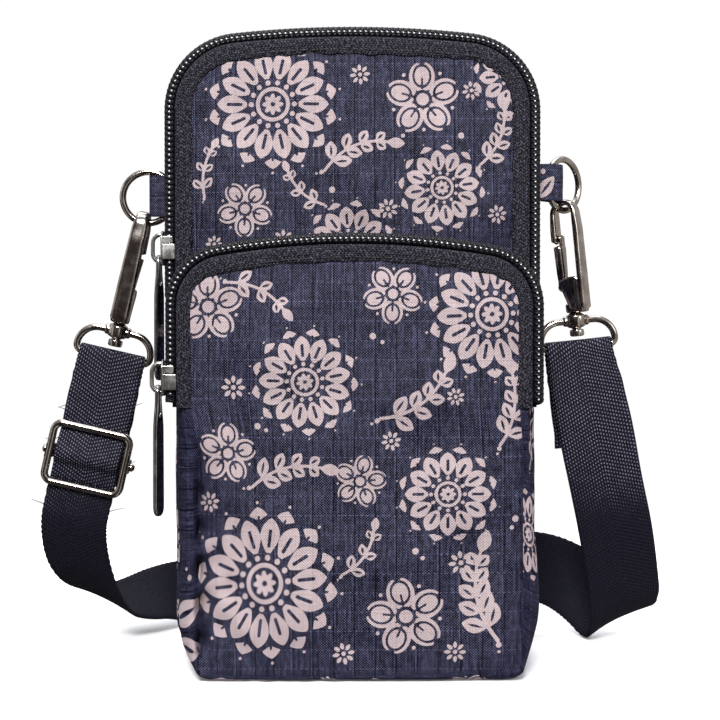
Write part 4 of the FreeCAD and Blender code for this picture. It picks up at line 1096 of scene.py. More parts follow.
def front_tape(which):
    y0, e = FACE[which], BAND[which][0]
    path = over_path(which, ZIP_LOW[which] + 0.3, 0.5)
    prof = [(2.02, y0 + 3.0), (2.02, y0 + 1.6), (2.08, y0 + 0.7), (2.3, y0 + 0.15), (2.7, y0 - 0.20), (3.2, y0 - 0.33)]
    prof += [(d, y0 - 0.36 - 0.05 * math.sin((d - 3.4) / (e - 3.4) * PI)) for d in np.linspace(3.5, e - 0.9, 8)]
    prof += [(e - 0.45, y0 - 0.34), (e - 0.05, y0 - 0.26), (e + 0.22, y0 - 0.08), (e + 0.26, y0 + 0.12), (e + 0.05, y0 + 0.30)]
    prof += [(d, y0 + 0.52) for d in np.linspace(e - 0.6, 3.3, 6)] + [(2.95, y0 + 0.8), (2.8, y0 + 1.5), (2.8, y0 + 3.0)]
    seed = 31 if which == "main" else 41

    def wobble(p, d, y, j):
        s = p["s"]
        far = smooth(1.5, e, d)
        return ((band_at(which, p["nx"]) - e) * np.clip((d - 2.6) / (e - 2.6), 0, 1) + 0.26 * wave(s, seed, 4, 12, 8) * smooth(e - 2.2, e, d) + 0.18 * wave(s, seed + 1, 40, 90) * far,
                -0.16 * wave(s, seed + 2, 7, 18, 8) * far - 0.22 * wave(s, seed + 3, 22, 60) * far)

    V, UV = band_mesh(path, prof, wobble)
    b = Build()
    b.add(V, quads(*V.shape[:2], wrap_v=True), cloth=UV.reshape(-1, 3))
    end_caps(b, V, UV)
    ob = b.done(which + "_tape_front", [TAPE])
    fold_blend(ob)
    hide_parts(which + "_zip_tape_front", which + "_zip_tape_ends")
    return ob


def coil_row(which, side, low):
    """One row: a flattened wire coil round a filler cord, with a pale dot on the crest between turns: a painted
    highlight standing in for the glint on each nylon turn.
    """
    plane = PLANE[which]
    pitch, wire = 1.55, 0.50
    path = over_path(which, low, 0.2)
    S = path["s"][-1]
    turns = int(S / pitch) - 1
    per = 14
    tau = np.arange(turns * per + 1) / per
    s0 = (S - turns * pitch) / 2
    s = np.clip(s0 + tau * pitch + (0.0 if side == "front" else pitch / 2), 0, S)
    ang = 2 * PI * tau
    sign = -1.0 if side == "front" else 1.0

    def at(s, d, y):
        px, pz, nx, nz = (np.interp(s, path["s"], path[q]) for q in ("x", "z", "nx", "nz"))
        return np.stack([px - nx * d, y, pz - nz * d], -1), np.stack([nz, 0 * nx, -nx], -1)

    b = Build()
    mid, wide = 0.34, 1.14
    P, along = at(s, mid + wide * np.cos(ang), plane + sign * (1.32 + 0.80 * np.sin(ang)))
    V, F = tube(P, wire, 7, ref=along)
    b.add(V, F, 0)
    t = np.linspace(s0, S - s0, int(S / 1.2))
    for off in (-0.55, 0.15, 0.85):
        P, along = at(t, np.full_like(t, mid - 0.15 + off), np.full_like(t, plane + sign * 1.32))
        V, F = tube(P, 0.80, 8, ref=np.array([0, 1.0, 0]))
        b.add(V, F, 0)
    # Pale dots on the front row's crest: painted highlights for the glint on each turn.
    if side == "front":
        q = np.linspace(0, 1, 6)
        for k in np.arange(turns) * pitch + s0 + 0.5 * pitch:
            P, along = at(k + (q - 0.5) * 0.54, mid + (q - 0.5) * 0.16, np.full(6, plane + sign * (1.32 + 1.10)))
            V, F = tube(P, 0.27, 8, ref=np.array([0, 1.0, 0]), taper=np.array([0.05, 0.75, 0.98, 0.98, 0.75, 0.05]))
            b.add(V, F, 1)
    ob = b.done(which + "_coil_" + side, [ROW, GLINT_DOT])
    clean(ob)
    if side == "front":
        fold_blend(ob)
        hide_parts(which + "_zip_coil_front", which + "_zip_coil_ends")
    else:
        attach(ob, "pouch")
        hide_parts(which + "_zip_coil_rear")
    return ob


def rear_tape(which):
    plane = PLANE[which]
    y1 = 9.4 if which == "main" else -5.0
    path = over_path(which, ZIP_LOW[which] + 0.3, 0.8)
    y0 = plane + 0.6
    out = [(0.55, y0), (0.50, y0 + 1.6), (0.62, y0 + 2.6)] + [(0.75 + 0.25 * math.sin(t * PI), y0 + 2.6 + (y1 - y0 - 2.6) * t) for t in np.linspace(0.1, 1, 8)]
    back = [(1.55, y) for y in np.linspace(y1, y0, 9)]
    prof = out + back

    def wobble(p, d, y, j):
        t = smooth(y0 + 2, y1, y)
        return 0.25 * wave(p["s"], 61, 9, 24) * t, 0.0 * p["s"]

    V, UV = band_mesh(path, prof, wobble)
    b = Build()
    b.add(V, quads(*V.shape[:2], wrap_v=True, flip=True), cloth=UV.reshape(-1, 3))
    ob = b.done(which + "_tape_rear", [TAPE])
    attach(ob, "pouch")
    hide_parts(which + "_zip_tape_rear")
    return ob


for which in ("main", "pocket"):
    front_tape(which)
    coil_row(which, "front", ZIP_LOW[which] + 0.4)
    coil_row(which, "rear", ZIP_LOW[which] + 0.4)
    rear_tape(which)


# ================================================================== gussets and back
SIDE_PRINT = scatter(5, -30, 330, -4, 34, 15.0)


def soft_band(path, ys, out_fn, name, mats, seed, replaced, ink_motifs=None, thick=1.2, shift=None):
    """A cloth band between two rows of y, pushed out by out_fn, with a plain back layer."""
    n, k = len(path["x"]), len(ys)
    S = np.repeat(path["s"][:, None], k, 1)
    Y = np.repeat(np.asarray(ys, float)[None, :], n, 0)
    o = out_fn(S, Y, path)
    X = path["x"][:, None] + path["nx"][:, None] * o
    Z = path["z"][:, None] + path["nz"][:, None] * o
    Z = np.maximum(Z, 0.0)
    b = Build()
    cl = cloth_uv(S, Y)
    Xi = path["x"][:, None] + path["nx"][:, None] * (np.minimum(o, 0.4) - thick)
    Zi = path["z"][:, None] + path["nz"][:, None] * (np.minimum(o, 0.4) - thick)
    if shift is not None:
        X, Xi = shift(X, Z), shift(Xi, Zi)
    b.add(np.stack([X, Y, Z], -1), quads(n, k), 0, cloth=cl, ink=ink(S, Y, ink_motifs or []))
    b.add(np.stack([Xi, Y, Zi], -1), quads(n, k, flip=True), 1, cloth=cl, ink=np.full(Y.size, -2.0))
    ob = b.done(name, mats)
    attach(ob, "pouch")
    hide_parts(*replaced)
    return ob


def main_side(S, Y, path):
    t = (Y + 5.2) / 29.8
    L = path["s"][-1]
    bulge = 1.9 * np.sin(PI * np.clip(t, 0, 1)) ** 0.8 * smooth(0, 20, S) * smooth(0, 20, L - S)
    flat = 1 - smooth(0.3, 0.9, -path["nz"])[:, None]
    o = bulge * (0.25 + 0.75 * flat)
    o += 0.30 * ripple(S, Y, 301, 14, 34) * np.sin(PI * np.clip(t, 0, 1)) * flat
    o += 0.22 * wave(S, 302, 5, 11, 8) * np.exp(-((Y + 5.2) / 3.0) ** 2) * flat
    o += 0.26 * wave(S, 303, 5, 11, 8) * np.exp(-((Y - 24.6) / 3.5) ** 2) * flat
    return o - 0.55 * np.exp(-((Y + 5.2) / 0.9) ** 2) - 0.5 * np.exp(-((Y - 24.6) / 1.0) ** 2)


p = under_path("main", 110.0, 0.62)
ob = soft_band(p, np.linspace(-5.4, 24.9, 50), main_side, "main_gusset_cloth", SIDES, 1, ["main_gusset"], SIDE_PRINT, shift=body_shift)


def top_side(S, Y, path):
    t = np.clip((Y - 8.4) / 16.4, 0, 1)
    L = path["s"][-1]
    o = 1.15 * np.sin(PI * t) ** 0.8 * smooth(0, 12, S) * smooth(0, 12, L - S)
    o += 0.20 * ripple(S, Y, 311, 12, 30) * np.sin(PI * t)
    o += 0.22 * wave(S, 312, 5, 11, 8) * np.exp(-((Y - 24.6) / 3.0) ** 2)
    return o + 0.15 - 0.25 * np.exp(-((Y - 8.4) / 0.7) ** 2) - 0.5 * np.exp(-((Y - 24.6) / 1.0) ** 2)


p = over_path("main", 109.4, 0.62)
ob = soft_band(p, np.linspace(8.4, 24.9, 30), top_side, "top_gusset_cloth", SIDES, 2, ["top_gusset"], scatter(6, -5, 260, 2, 30, 9.0))


def pocket_gusset():
    """Starts at the front seam, rolls round the front edge and runs back to the main body."""
    high = 75.4
    foot = 8.0
    HALF = SHAPES["pocket"]["half"]

    def sample(parts):
        return [np.concatenate([q[k] for q in parts]) for k in range(4)]

    def n_of(length, step=0.6):
        return max(3, int(length / step))

    n1, n3 = n_of(high - foot), n_of(2 * HALF, 0.5)
    a = np.linspace(0, 1, n1, endpoint=False)
    m = 0.5 - 0.5 * np.cos(PI * np.linspace(0, 1, n3, endpoint=False))
    e = np.linspace(0, 1, n1 + 1)
    # outer line
    outer = np.concatenate([
        spline([(-49.4, high), (-49.2, 60), (-48.6, 45), (-48.3, 33), (-48.3, 20), (-48.0, 14), (-47.3, 9.5), (-45.9, 5.5), (-44.0, 2.2)], a),
        spline([(-44.0, 2.2), (-42.5, 0.6), (-40.4, 0.02), (-30.0, 0), (0.0, 0), (30.0, 0), (41.5, 0.02), (44.6, 0.5), (46.6, 1.9)], m),
        spline([(46.6, 1.9), (47.8, 5.0), (49.3, 10.5), (50.5, 16), (50.9, 21), (50.7, 28), (50.2, 36), (49.6, 45), (49.2, 55), (49.2, 65), (49.4, high)], e)])
    ox, oz = outer[:, 0], np.maximum(outer[:, 1], 0.0)
    # seam line
    end = float(bottom_seam(SEAM_X))
    first = float(bottom_seam(-SEAM_X))
    bx = -SEAM_X + 2 * SEAM_X * m
    sx = np.concatenate([np.full(n1, -SEAM_X), bx, np.full(n1 + 1, SEAM_X)])
    sz = np.concatenate([high + (first - high) * a, bottom_seam(bx), end + (high - end) * e])
    sx = seam_shift(sx, sz)
    n = len(ox)
    s = np.concatenate([[0], np.cumsum(np.hypot(np.diff(ox), np.diff(oz)))])
    down = smooth(10, 2, oz)                       # 1 along the bottom
    roll = 9.5 * (1 - down) + 3.6 * down           # how far back the front edge rolls
    ph = np.linspace(0, PI / 2, 22)
    yb = np.linspace(0, 1, 26)[1:]
    k = len(ph) + len(yb)
    X, Y, Z = (np.zeros((n, k)) for _ in range(3))
    T = np.zeros((n, k))
    nx = ox - sx
    nz = oz - sz
    ln = np.hypot(nx, nz) + 1e-9
    nx, nz = nx / ln, nz / ln
    left = smooth(10, -10, ox)
    for j, q in enumerate(ph):
        f = math.sin(q)
        X[:, j] = sx + (ox - sx) * f
        Z[:, j] = sz + (oz - sz) * f
        Y[:, j] = FACE["pocket"] + 0.1 + roll * (1 - math.cos(q))
        T[:, j] = q * (roll + ln) * 0.5
        # the cloth stands proud just past the seam and gathers there
        proud = 0.85 * math.exp(-((q - 0.45) / 0.35) ** 2) * (1 - 0.3 * down)
        Y[:, j] -= proud
        Y[:, j] -= 0.55 * wave(s, 401, 5, 11, 8) * math.exp(-((q - 0.3) / 0.35) ** 2) * (0.3 + 0.7 * left)
        Y[:, j] += tuck(-SEAM_X, sz) * left * math.exp(-(q / 0.15) ** 2) + 0.9 * (1 - left) * math.exp(-(q / 0.30) ** 2) * smooth(76, 60, sz) * smooth(1, 8, sz)
    y_turn = FACE["pocket"] + 0.1 + roll
    for j, t in enumerate(yb):
        X[:, len(ph) + j] = ox
        Z[:, len(ph) + j] = oz
        Y[:, len(ph) + j] = y_turn + (-5.0 - y_turn) * t
        T[:, len(ph) + j] = T[:, len(ph) - 1] + (-5.0 - y_turn) * t
    # soft sides: out a little in the middle, in at the back seam
    q = (Y + 26) / 21.0
    out = 0.9 * np.sin(PI * np.clip(q, 0, 1)) ** 0.9 * smooth(0, 26, s)[:, None] * smooth(0, 26, s[-1] - s)[:, None] * (1 - down)[:, None]
    out += 0.34 * ripple(np.repeat(s[:, None], k, 1), T, 402, 12, 30) * smooth(0.1, 0.4, q) * (1 - down)[:, None]
    out -= 0.6 * np.exp(-((Y + 5.0) / 1.2) ** 2) * (1 - down)[:, None]
    X += nx[:, None] * out
    Z = np.maximum(Z + nz[:, None] * out, 0.0)
    S = np.repeat(s[:, None], k, 1)
    value = ink(S, T, [("rosette", (s[-1] - 36.0, 3.0), 13.0, 0.1, 12), ("sprig", (s[-1] - 8.0, 6.0), 17.0, 0.2, 0.5, 4), ("leaf", (57.5, 5.5), 7.5, 1.25), ("leaf", (67.5, 5.0), 6.5, 1.9), ("dot", (47.5, 3.5), 0.9), ("dot", (45.0, 4.8), 0.6), ("sprig", (84.0, 3.0), 15.0, 0.1, 0.4, 4),
                       ("star", (112.0, 3.0), 2.8, 0.1), ("dot", (125.0, 2.0), 0.9), ("blossom", (150.0, 8.0), 7.5, 0.3), ("rosette", (40.0, 26.0), 9.0, 0.0, 12), ("rosette", (190.0, 26.0), 9.5, 0.0, 12)])
    b = Build()
    cl = cloth_uv(S, T)
    b.add(np.stack([X, Y, Z], -1), quads(n, k), 0, cloth=cl, ink=value)
    Yi = np.clip(np.maximum(Y + 0.9, FACE["pocket"] + 1.0 + 1.3 * (tuck(-SEAM_X, sz) * left)[:, None]), -25.0, -5.0)
    b.add(np.stack([X - nx[:, None] * 1.2, Yi, Z - nz[:, None] * 1.2], -1), quads(n, k, flip=True), 1, cloth=cl, ink=np.full(Y.size, -2.0))
    ob = b.done("pocket_gusset_cloth", SIDES)
    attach(ob, "pouch")
    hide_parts("pocket_gusset")
    return ob


pocket_gusset()


def back_panel():
    edge = 0.4
    xs = columns("main", edge, 0.62)
    zt = top_at("main", xs, edge)
    over = np.clip(np.abs(xs) - (HALF - edge - 7.6), 0, 7.6)
    zb = edge + 7.6 - np.sqrt(np.maximum(7.6 ** 2 - over ** 2, 0))
    rows = int(np.max(zt - zb) / 0.62)
    v = np.linspace(0, 1, rows)
    X = np.repeat(xs[:, None], rows, 1)
    Z = zb[:, None] + (zt - zb)[:, None] * v[None, :]
    d = np.minimum(inset("main", X, Z), Z) - edge
    Y = 25.0 + 1.0 * (1 - np.exp(-np.maximum(d, 0) / 1.8)) + 2.0 * smooth(-1, 22, d)
    Y += 0.30 * ripple(X, Z, 501, 16, 46) * smooth(0, 9, d)
    Y += 0.32 * wave(X + 0.7 * Z, 502, 6, 13, 8) * np.exp(-np.maximum(d, 0) / 3.5) * smooth(0, 1.2, d)
    b = Build()
    flat, value = cloth_uv(-X, Z), ink(-X, Z, scatter(8, -52, 52, 0, 182, 18.0))
    X = body_shift(X, Z)
    b.add(np.stack([X, Y, Z], -1), quads(*X.shape, flip=True), 0, cloth=flat, ink=value)
    k = 3
    Xs, Ys, Zs = X[::k, ::k], Y[::k, ::k], Z[::k, ::k]
    b.add(np.stack([Xs, np.full_like(Xs, 24.4), Zs], -1), quads(*Xs.shape), 1, cloth=cloth_uv(Xs, Zs), ink=np.full(Xs.size, -2.0))
    ob = b.done("back_panel_cloth", BACKS)
    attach(ob, "pouch")
    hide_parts("back_panel")


back_panel()


def lining_tray(which, name, y_front, y_back, motif_seed):
    """A loose lining: a wall all round and a back."""
    edge = 3.3
    over = over_path(which, 8.0, 1.3)
    under = under_path(which, 8.0, 1.3)
    px = np.concatenate([over["x"], under["x"][::-1][1:-1]])
    pz = np.concatenate([over["z"], under["z"][::-1][1:-1]])
    nx = np.concatenate([over["nx"], under["nx"][::-1][1:-1]])
    nz = np.concatenate([over["nz"], under["nz"][::-1][1:-1]])
    n = len(px)
    s = np.concatenate([[0], np.cumsum(np.hypot(np.diff(px), np.diff(pz)))])
    ys = np.linspace(y_front, y_back, 12)
    t = (ys - y_front) / (y_back - y_front)
    S, Yg = np.meshgrid(s, ys, indexing="ij")
    loose = edge + 0.35 + 0.35 * ripple(S, Yg, motif_seed, 8, 22) * np.sin(PI * t)[None, :]
    X = px[:, None] - nx[:, None] * loose
    Z = pz[:, None] - nz[:, None] * loose
    if which == "main":
        X = body_shift(X, Z)
    else:
        X = X + 1.6 * smooth(80, 60, Z) * smooth(-20, -44, X) - np.sign(X) * smooth(30, 40, np.abs(X)) * foot_in(Z - 3.0)
    b = Build()
    b.add(np.stack([X, Yg, Z], -1), quads(n, 12, wrap_u=True), 0, cloth=cloth_uv(S, Yg))
    rings = np.linspace(1, 0, 16)
    cx, cz = 0.0, 0.5 * (pz.max() + pz.min())
    Xr = cx + (X[:, -1] - cx)[:, None] * rings[None, :]
    Zr = cz + (Z[:, -1] - cz)[:, None] * rings[None, :]
    Yr = y_back - 0.3 - 0.3 * ripple(Xr, Zr, motif_seed + 1, 12, 34) * (1 - rings[None, :] ** 6)
    Yr[:, 0] = y_back
    b.add(np.stack([Xr, Yr, Zr], -1), quads(n, 16, wrap_u=True), 0, cloth=cloth_uv(Xr, Zr))
    ob = b.done(name, [LINING])
    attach(ob, "pouch")
    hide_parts(which + "_lining")


lining_tray("main", "main_lining_cloth", -3.2, 23.8, 611)
lining_tray("pocket", "pocket_lining_cloth", -24.2, -6.0, 621)


# ================================================================== tabs
def tab(side, root, lean, reach, outer, inner, mid, seed, h):
    """A strip of print cloth folded round the ring's wire."""
    sign = -1.0 if side == "left" else 1.0
    o, i = outer - 0.05, inner + 0.05
    pts = []
    for t in np.linspace(-1.6, reach, 40):
        pts.append((t, -1.0, 1.0 if t > 2.5 else 0.55 + 0.45 * max(0.0, (t + 1.6) / 4.1)))
    for a in np.linspace(-PI / 2, PI / 2, 25)[1:-1]:
        pts.append((reach, a, None))
    for t in np.linspace(reach, -1.6, 40):
        pts.append((t, 1.0, 1.0 if t > 2.5 else 0.55 + 0.45 * max(0.0, (t + 1.6) / 4.1)))
    zs = np.linspace(-h, h, 44)
    rad_o, rad_i = o, i
    b = Build()
    layers = []
    run = []
    acc = 0.0
    for rad in (rad_o, rad_i):
        L = []
        for (t, q, k) in pts:
            if k is None:
                L.append((t + rad * math.cos(q), rad * math.sin(q)))
            else:
                L.append((t, q * (rad - (1 - k) * (outer - 0.9)) if rad == rad_o else q * max(0.05, rad - (1 - k) * (outer - 0.9))))
        layers.append(np.array(L))
    ln = np.concatenate([[0], np.cumsum(np.hypot(*np.diff(layers[0], axis=0).T))])
    ca, sa = math.cos(math.radians(lean)), math.sin(math.radians(lean))
    grids = []
    for li, L in enumerate(layers):
        X, Zg = np.meshgrid(L[:, 0], zs, indexing="ij")
        Yg = np.repeat(L[:, 1][:, None], len(zs), 1)
        S = np.repeat(ln[:, None], len(zs), 1)
        e = np.abs(Zg) / h
        shape = 1 - 0.05 * smooth(0.75, 1.0, e)
        Yg = Yg * shape + 0.08 * wave(Zg + 3 * S, seed, 5, 12)
        rx, ry = X * sign, Yg
        wx = HALF * sign + rx * ca - ry * sa
        wy = root + rx * sa + ry * ca
        V = np.stack([wx, wy, mid + Zg + 0.15 * wave(S, seed + 1, 6, 14)], -1)
        grids.append(V)
        b.add(V, quads(*X.shape, flip=(li == 1) != (sign < 0)), 0, cloth=cloth_uv(Zg, S), ink=ink(Zg + 20, S, TAB_PRINT[side]) if li == 0 else np.full(X.size, -2.0))
    n, k = grids[0].shape[:2]
    for col, fl in ((0, sign > 0), (k - 1, sign < 0)):
        V = np.stack([grids[0][:, col], grids[1][:, col]], 1)
        b.add(V, quads(n, 2, flip=fl), 0, cloth=cloth_uv(np.zeros((n, 2)), np.repeat(ln[:, None], 2, 1)), ink=np.full(n * 2, -2.0))
    ob = b.done(side + "_tab_cloth", [PRINT])
    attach(ob, "pouch")
    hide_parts(side + "_tab")
    return ob


TAB_PRINT = {"left": [("leaf", (16.6, 3.4), 3.4, 0.8), ("dot", (22.6, 5.4), 0.7)], "right": [("leaf", (18.4, 5.4), 4.2, 0.7), ("dot", (23.2, 4.4), 0.8)]}
tab("left", 12.0, 0.0, 7.6, 2.0, 1.2, 136.9, 71, 6.1)
tab("right", 7.0, 20.0, 7.8, 2.65, 1.85, 140.5, 73, 5.4)


# ================================================================== stitches
def stitches(name, path, d_fn, y_fn, body, pitch=3.0, length=2.1, r=0.20):
    """A row of short raised thread stitches along a path."""
    S = path["s"][-1]
    count = int(S / pitch)
    b = Build()
    for i in range(count):
        s0 = (i + 0.5) * pitch - length / 2
        t = np.linspace(0, 1, 6)
        s = s0 + length * t
        px, pz, nx, nz = (np.interp(s, path["s"], path[q]) for q in ("x", "z", "nx", "nz"))
        d = d_fn(s)
        y = y_fn(s) + 0.30 * (2 * t - 1) ** 4 - 0.10
        P = np.stack([px - nx * d, y, pz - nz * d], -1)
        V, F = tube(P, r, 6, ref=np.array([0, -1.0, 0]), taper=np.array([0.45, 0.9, 1, 1, 0.9, 0.45]))
        b.add(V, F, 0)
    ob = b.done(name, [THREAD])
    clean(ob)
    if body in ("main", "pocket"):
        fold_blend(ob)
    else:
        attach(ob, body)
    return ob


for which in ("main", "pocket"):
    y0, way = FACE[which], over_path(which, LOW[which] + 1.0, 0.5)
    stitches(which + "_tape_stitch", way, lambda s, w=which, way=way: band_at(w, np.interp(s, way["s"], way["nx"])) - 1.1, lambda s, y0=y0: np.full_like(s, y0 - 0.40), which)


# ================================================================== sliders, crowns and pulls
def prism(name, outline_pts, lo, hi, to_world, mat, bevel=0.25, segs=3):
    """A plate with a closed outline (a, b) between two levels, with rounded edges."""
    import bmesh
    bm = bmesh.new()
    bottom = [bm.verts.new(Vector(to_world(a, b, lo)) * MM) for a, b in outline_pts]
    top = [bm.verts.new(Vector(to_world(a, b, hi)) * MM) for a, b in outline_pts]
    n = len(bottom)
    bm.faces.new(bottom[::-1])
    bm.faces.new(top)
    for i in range(n):
        bm.faces.new((bottom[i], bottom[(i + 1) % n], top[(i + 1) % n], top[i]))
    bmesh.ops.recalc_face_normals(bm, faces=bm.faces)
    if bevel:
        edges = [e for e in bm.edges if len(e.link_faces) == 2 and e.calc_face_angle(0) > 0.5]
        bmesh.ops.bevel(bm, geom=edges, offset=bevel * MM, segments=segs, profile=0.6, affect="EDGES", clamp_overlap=True)
    me = bpy.data.meshes.new(name)
    bm.to_mesh(me)
    bm.free()
    me.materials.append(mat)
    for p in me.polygons:
        p.use_smooth = True
    ob = bpy.data.objects.new(name, me)
    bpy.context.scene.collection.objects.link(ob)
    return ob


def merge(name, obs):
    """Joins several plain mesh objects into one."""
    bpy.context.view_layer.update()
    import bmesh
    bm = bmesh.new()
    mats = []
    for o in obs:
        tmp = o.data.copy()
        tmp.transform(o.matrix_world)
        base = len(bm.faces)
        bm.from_mesh(tmp)
        bm.faces.ensure_lookup_table()
        for m in o.data.materials:
            if m not in mats:
                mats.append(m)
        for f in bm.faces[base:]:
            f.material_index = mats.index(o.data.materials[f.material_index] if o.data.materials else mats[0])
        bpy.data.meshes.remove(tmp)
    me = bpy.data.meshes.new(name)
    bm.to_mesh(me)
    bm.free()
    for m in mats:
        me.materials.append(m)
    for o in list(obs):
        d = o.data
        bpy.data.objects.remove(o)
        bpy.data.meshes.remove(d)
    ob = bpy.data.objects.new(name, me)
    bpy.context.scene.collection.objects.link(ob)
    return ob


def smooth_by_angle(ob, deg=40):
    """Keeps flat faces flat on a bevelled metal piece."""
    m = ob.modifiers.new("weighted", "WEIGHTED_NORMAL")
    m.keep_sharp = True
    m.weight = 80
    return ob


def round_rect(w, h, r, n=6):
    out = []
    for cx, cy, a0 in ((w - r, h - r, 0), (-w + r, h - r, PI / 2), (-w + r, -h + r, PI), (w - r, -h + r, 1.5 * PI)):
        for a in np.linspace(a0, a0 + PI / 2, n):
            out.append((cx + r * math.cos(a), cy + r * math.sin(a)))
    return out


def slider_set(which, mid):
    plane = PLANE[which]
    edge = SHAPES[which]["mid"] - SHAPES[which]["half"]
    shell = edge - 1.45

    def in_x(a, b, lvl):
        return (lvl, plane + a, mid + b)

    # outer plate: wider at the shoulder end, narrow at the other, as a cast slider is
    face = [(-2.9, -5.0), (2.9, -5.0), (3.7, -3.4), (4.05, 0.0), (4.05, 3.2), (3.2, 4.7), (1.2, 5.0), (0.0, 4.5), (-1.2, 5.0), (-3.2, 4.7), (-4.05, 3.2), (-4.05, 0.0), (-3.7, -3.4)]
    outer = prism(which + "_s1", face, shell - 0.65, shell, in_x, SLIDER, 0.24)
    inner = prism(which + "_s2", [(a * 0.86, b) for a, b in face if a > -3.6], edge + 2.05, edge + 2.85, in_x, SLIDER, 0.22)
    rim = prism(which + "_s3", round_rect(0.45, 4.3, 0.4), shell - 0.3, edge + 0.3, lambda a, b, l: (l, plane + 3.42 + a, mid + b - 0.2), SLIDER, 0.18)

    def in_y(a, b, lvl):
        return (edge + a, lvl, mid + b)

    front = prism(which + "_s4", [(x + 0.02, z - 1.15) for x, z in round_rect(2.05, 2.25, 0.35)], plane - 3.62, plane - 2.90, in_y, SLIDER, 0.26)
    brow = prism(which + "_s6", [(x - 0.35, z + 2.35) for x, z in round_rect(1.75, 1.05, 0.35)], plane - 3.42, plane - 2.90, in_y, SLIDER, 0.24)
    post = prism(which + "_s5", [(-0.3, -4.4), (0.3, -4.4), (0.3, -1.6), (-0.3, -1.6)], shell - 0.2, edge + 2.2, in_x, SLIDER, 0.08)
    body = merge(which + "_slider_body", [outer, inner, rim, front, brow, post])
    smooth_by_angle(body)
    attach(body, which + "_slider")
    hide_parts(which + "_zip_slider")
    # crown: a flat strip bent over the plate
    reach, foot, half = {"main": -59.15, "pocket": -56.55}[which], shell - 0.65, 4.4
    r = 2.4
    path = [(foot + 0.35, mid + half - 0.45)]
    path += [(reach + 0.45 + r - r * math.sin(a), mid + half - 0.45 - r + r * math.cos(a)) for a in np.linspace(0, PI / 2, 9)]
    path += [(reach + 0.45 + r - r * math.cos(a), mid - half + 0.45 + r - r * math.sin(a)) for a in np.linspace(0, PI / 2, 9)]
    path += [(foot + 0.35, mid - half + 0.45)]
    P = np.array([(x, plane, z) for x, z in path])
    V, F = tube(P, 1.0, 12, ref=np.array([0, 1.0, 0]))
    # an oval section: 1.6 wide, 1.2 thick
    C = np.repeat(P, 12, 0)
    C = np.concatenate([C, P[:1], P[-1:]])
    off = V - C
    V = C + off * 0.60
    V[:, 1] = C[:, 1] + off[:, 1] * 0.8
    crown = clean(new_mesh(which + "_crown", V, F, [SLIDER]))
    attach(crown, which + "_slider")
    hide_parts(which + "_zip_crown")
    # pull: a long flat plate with a slot for the crown, turned a little on its long axis
    px, pz = reach + 0.9 + 1.35, mid - half + 0.9 + 1.0
    top, low = pz + 0.6, pz + 0.6 - 36.5
    tw = math.radians(16.0)

    def pull_at(a, b, lvl):
        k = float(smooth(pz - 3.0, pz - 12.0, b))
        c, s = math.cos(tw * k), math.sin(tw * k)
        lvl = lvl * (0.78 + 0.22 * max(0.0, 1 - (a / 2.7) ** 2))
        return (px + lvl * c + a * s, plane - lvl * s + a * c, b)

    def ring_pts(w_top, w_low, z1, z0, r1, r0, n=8, rows=26):
        right = []
        for a in np.linspace(PI / 2, 0, n):
            right.append((w_top - r1 + r1 * math.cos(a), z1 - r1 + r1 * math.sin(a)))
        for z in np.linspace(z1 - r1, z0 + r0, rows)[1:-1]:
            t = (z1 - r1 - z) / (z1 - r1 - z0 - r0)
            right.append((w_top + (w_low - w_top) * t, z))
        for a in np.linspace(0, -PI / 2, n):
            right.append((w_low - r0 + r0 * math.cos(a), z0 + r0 + r0 * math.sin(a)))
        return right + [(-x, z) for x, z in right[::-1]]

    outer_l = ring_pts(2.35, 2.7, top, low, 2.2, 2.4)
    import bmesh
    bm = bmesh.new()
    slot_l = ring_pts(1.45, 1.45, pz - 0.6, pz - 8.4, 1.2, 1.2, 5, 10)
    levels = []
    t = 0.75
    for pts, kind in ((outer_l, "o"), (slot_l, "i")):
        loops = []
        for lvl, shrink in ((-t, 0.42), (-t * 0.62, 0.10), (0.0, 0.0), (t * 0.62, 0.10), (t, 0.42)):
            grow = -shrink if kind == "o" else 0.55 * shrink
            loop = []
            zc = 0.5 * (max(z for _, z in pts) + min(z for _, z in pts))
            hz = max(z for _, z in pts) - zc
            hx = max(x for x, _ in pts)
            for x, z in pts:
                loop.append(bm.verts.new(Vector(pull_at(x * (hx + grow) / hx, zc + (z - zc) * (hz + grow) / hz, lvl)) * MM))
            loops.append(loop)
        levels.append(loops)
        n = len(pts)
        for a, bq in zip(loops[:-1], loops[1:]):
            for i in range(n):
                bm.faces.new((a[i], a[(i + 1) % n], bq[(i + 1) % n], bq[i]))
    for side in (0, -1):
        edges = []
        for loops in levels:
            lp = loops[side]
            for i in range(len(lp)):
                e = bm.edges.get((lp[i], lp[(i + 1) % len(lp)]))
                edges.append(e)
        bmesh.ops.triangle_fill(bm, use_beauty=True, use_dissolve=False, edges=edges)
    bmesh.ops.recalc_face_normals(bm, faces=bm.faces)
    me = bpy.data.meshes.new(which + "_pull")
    bm.to_mesh(me)
    bm.free()
    me.materials.append(GUN)
    for p in me.polygons:
        p.use_smooth = True
    pull = bpy.data.objects.new(which + "_pull", me)
    bpy.context.scene.collection.objects.link(pull)
    smooth_by_angle(pull)
    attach(pull, which + "_pull")
    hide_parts(which + "_zip_pull")


slider_set("main", 120.5)
slider_set("pocket", 83.5)


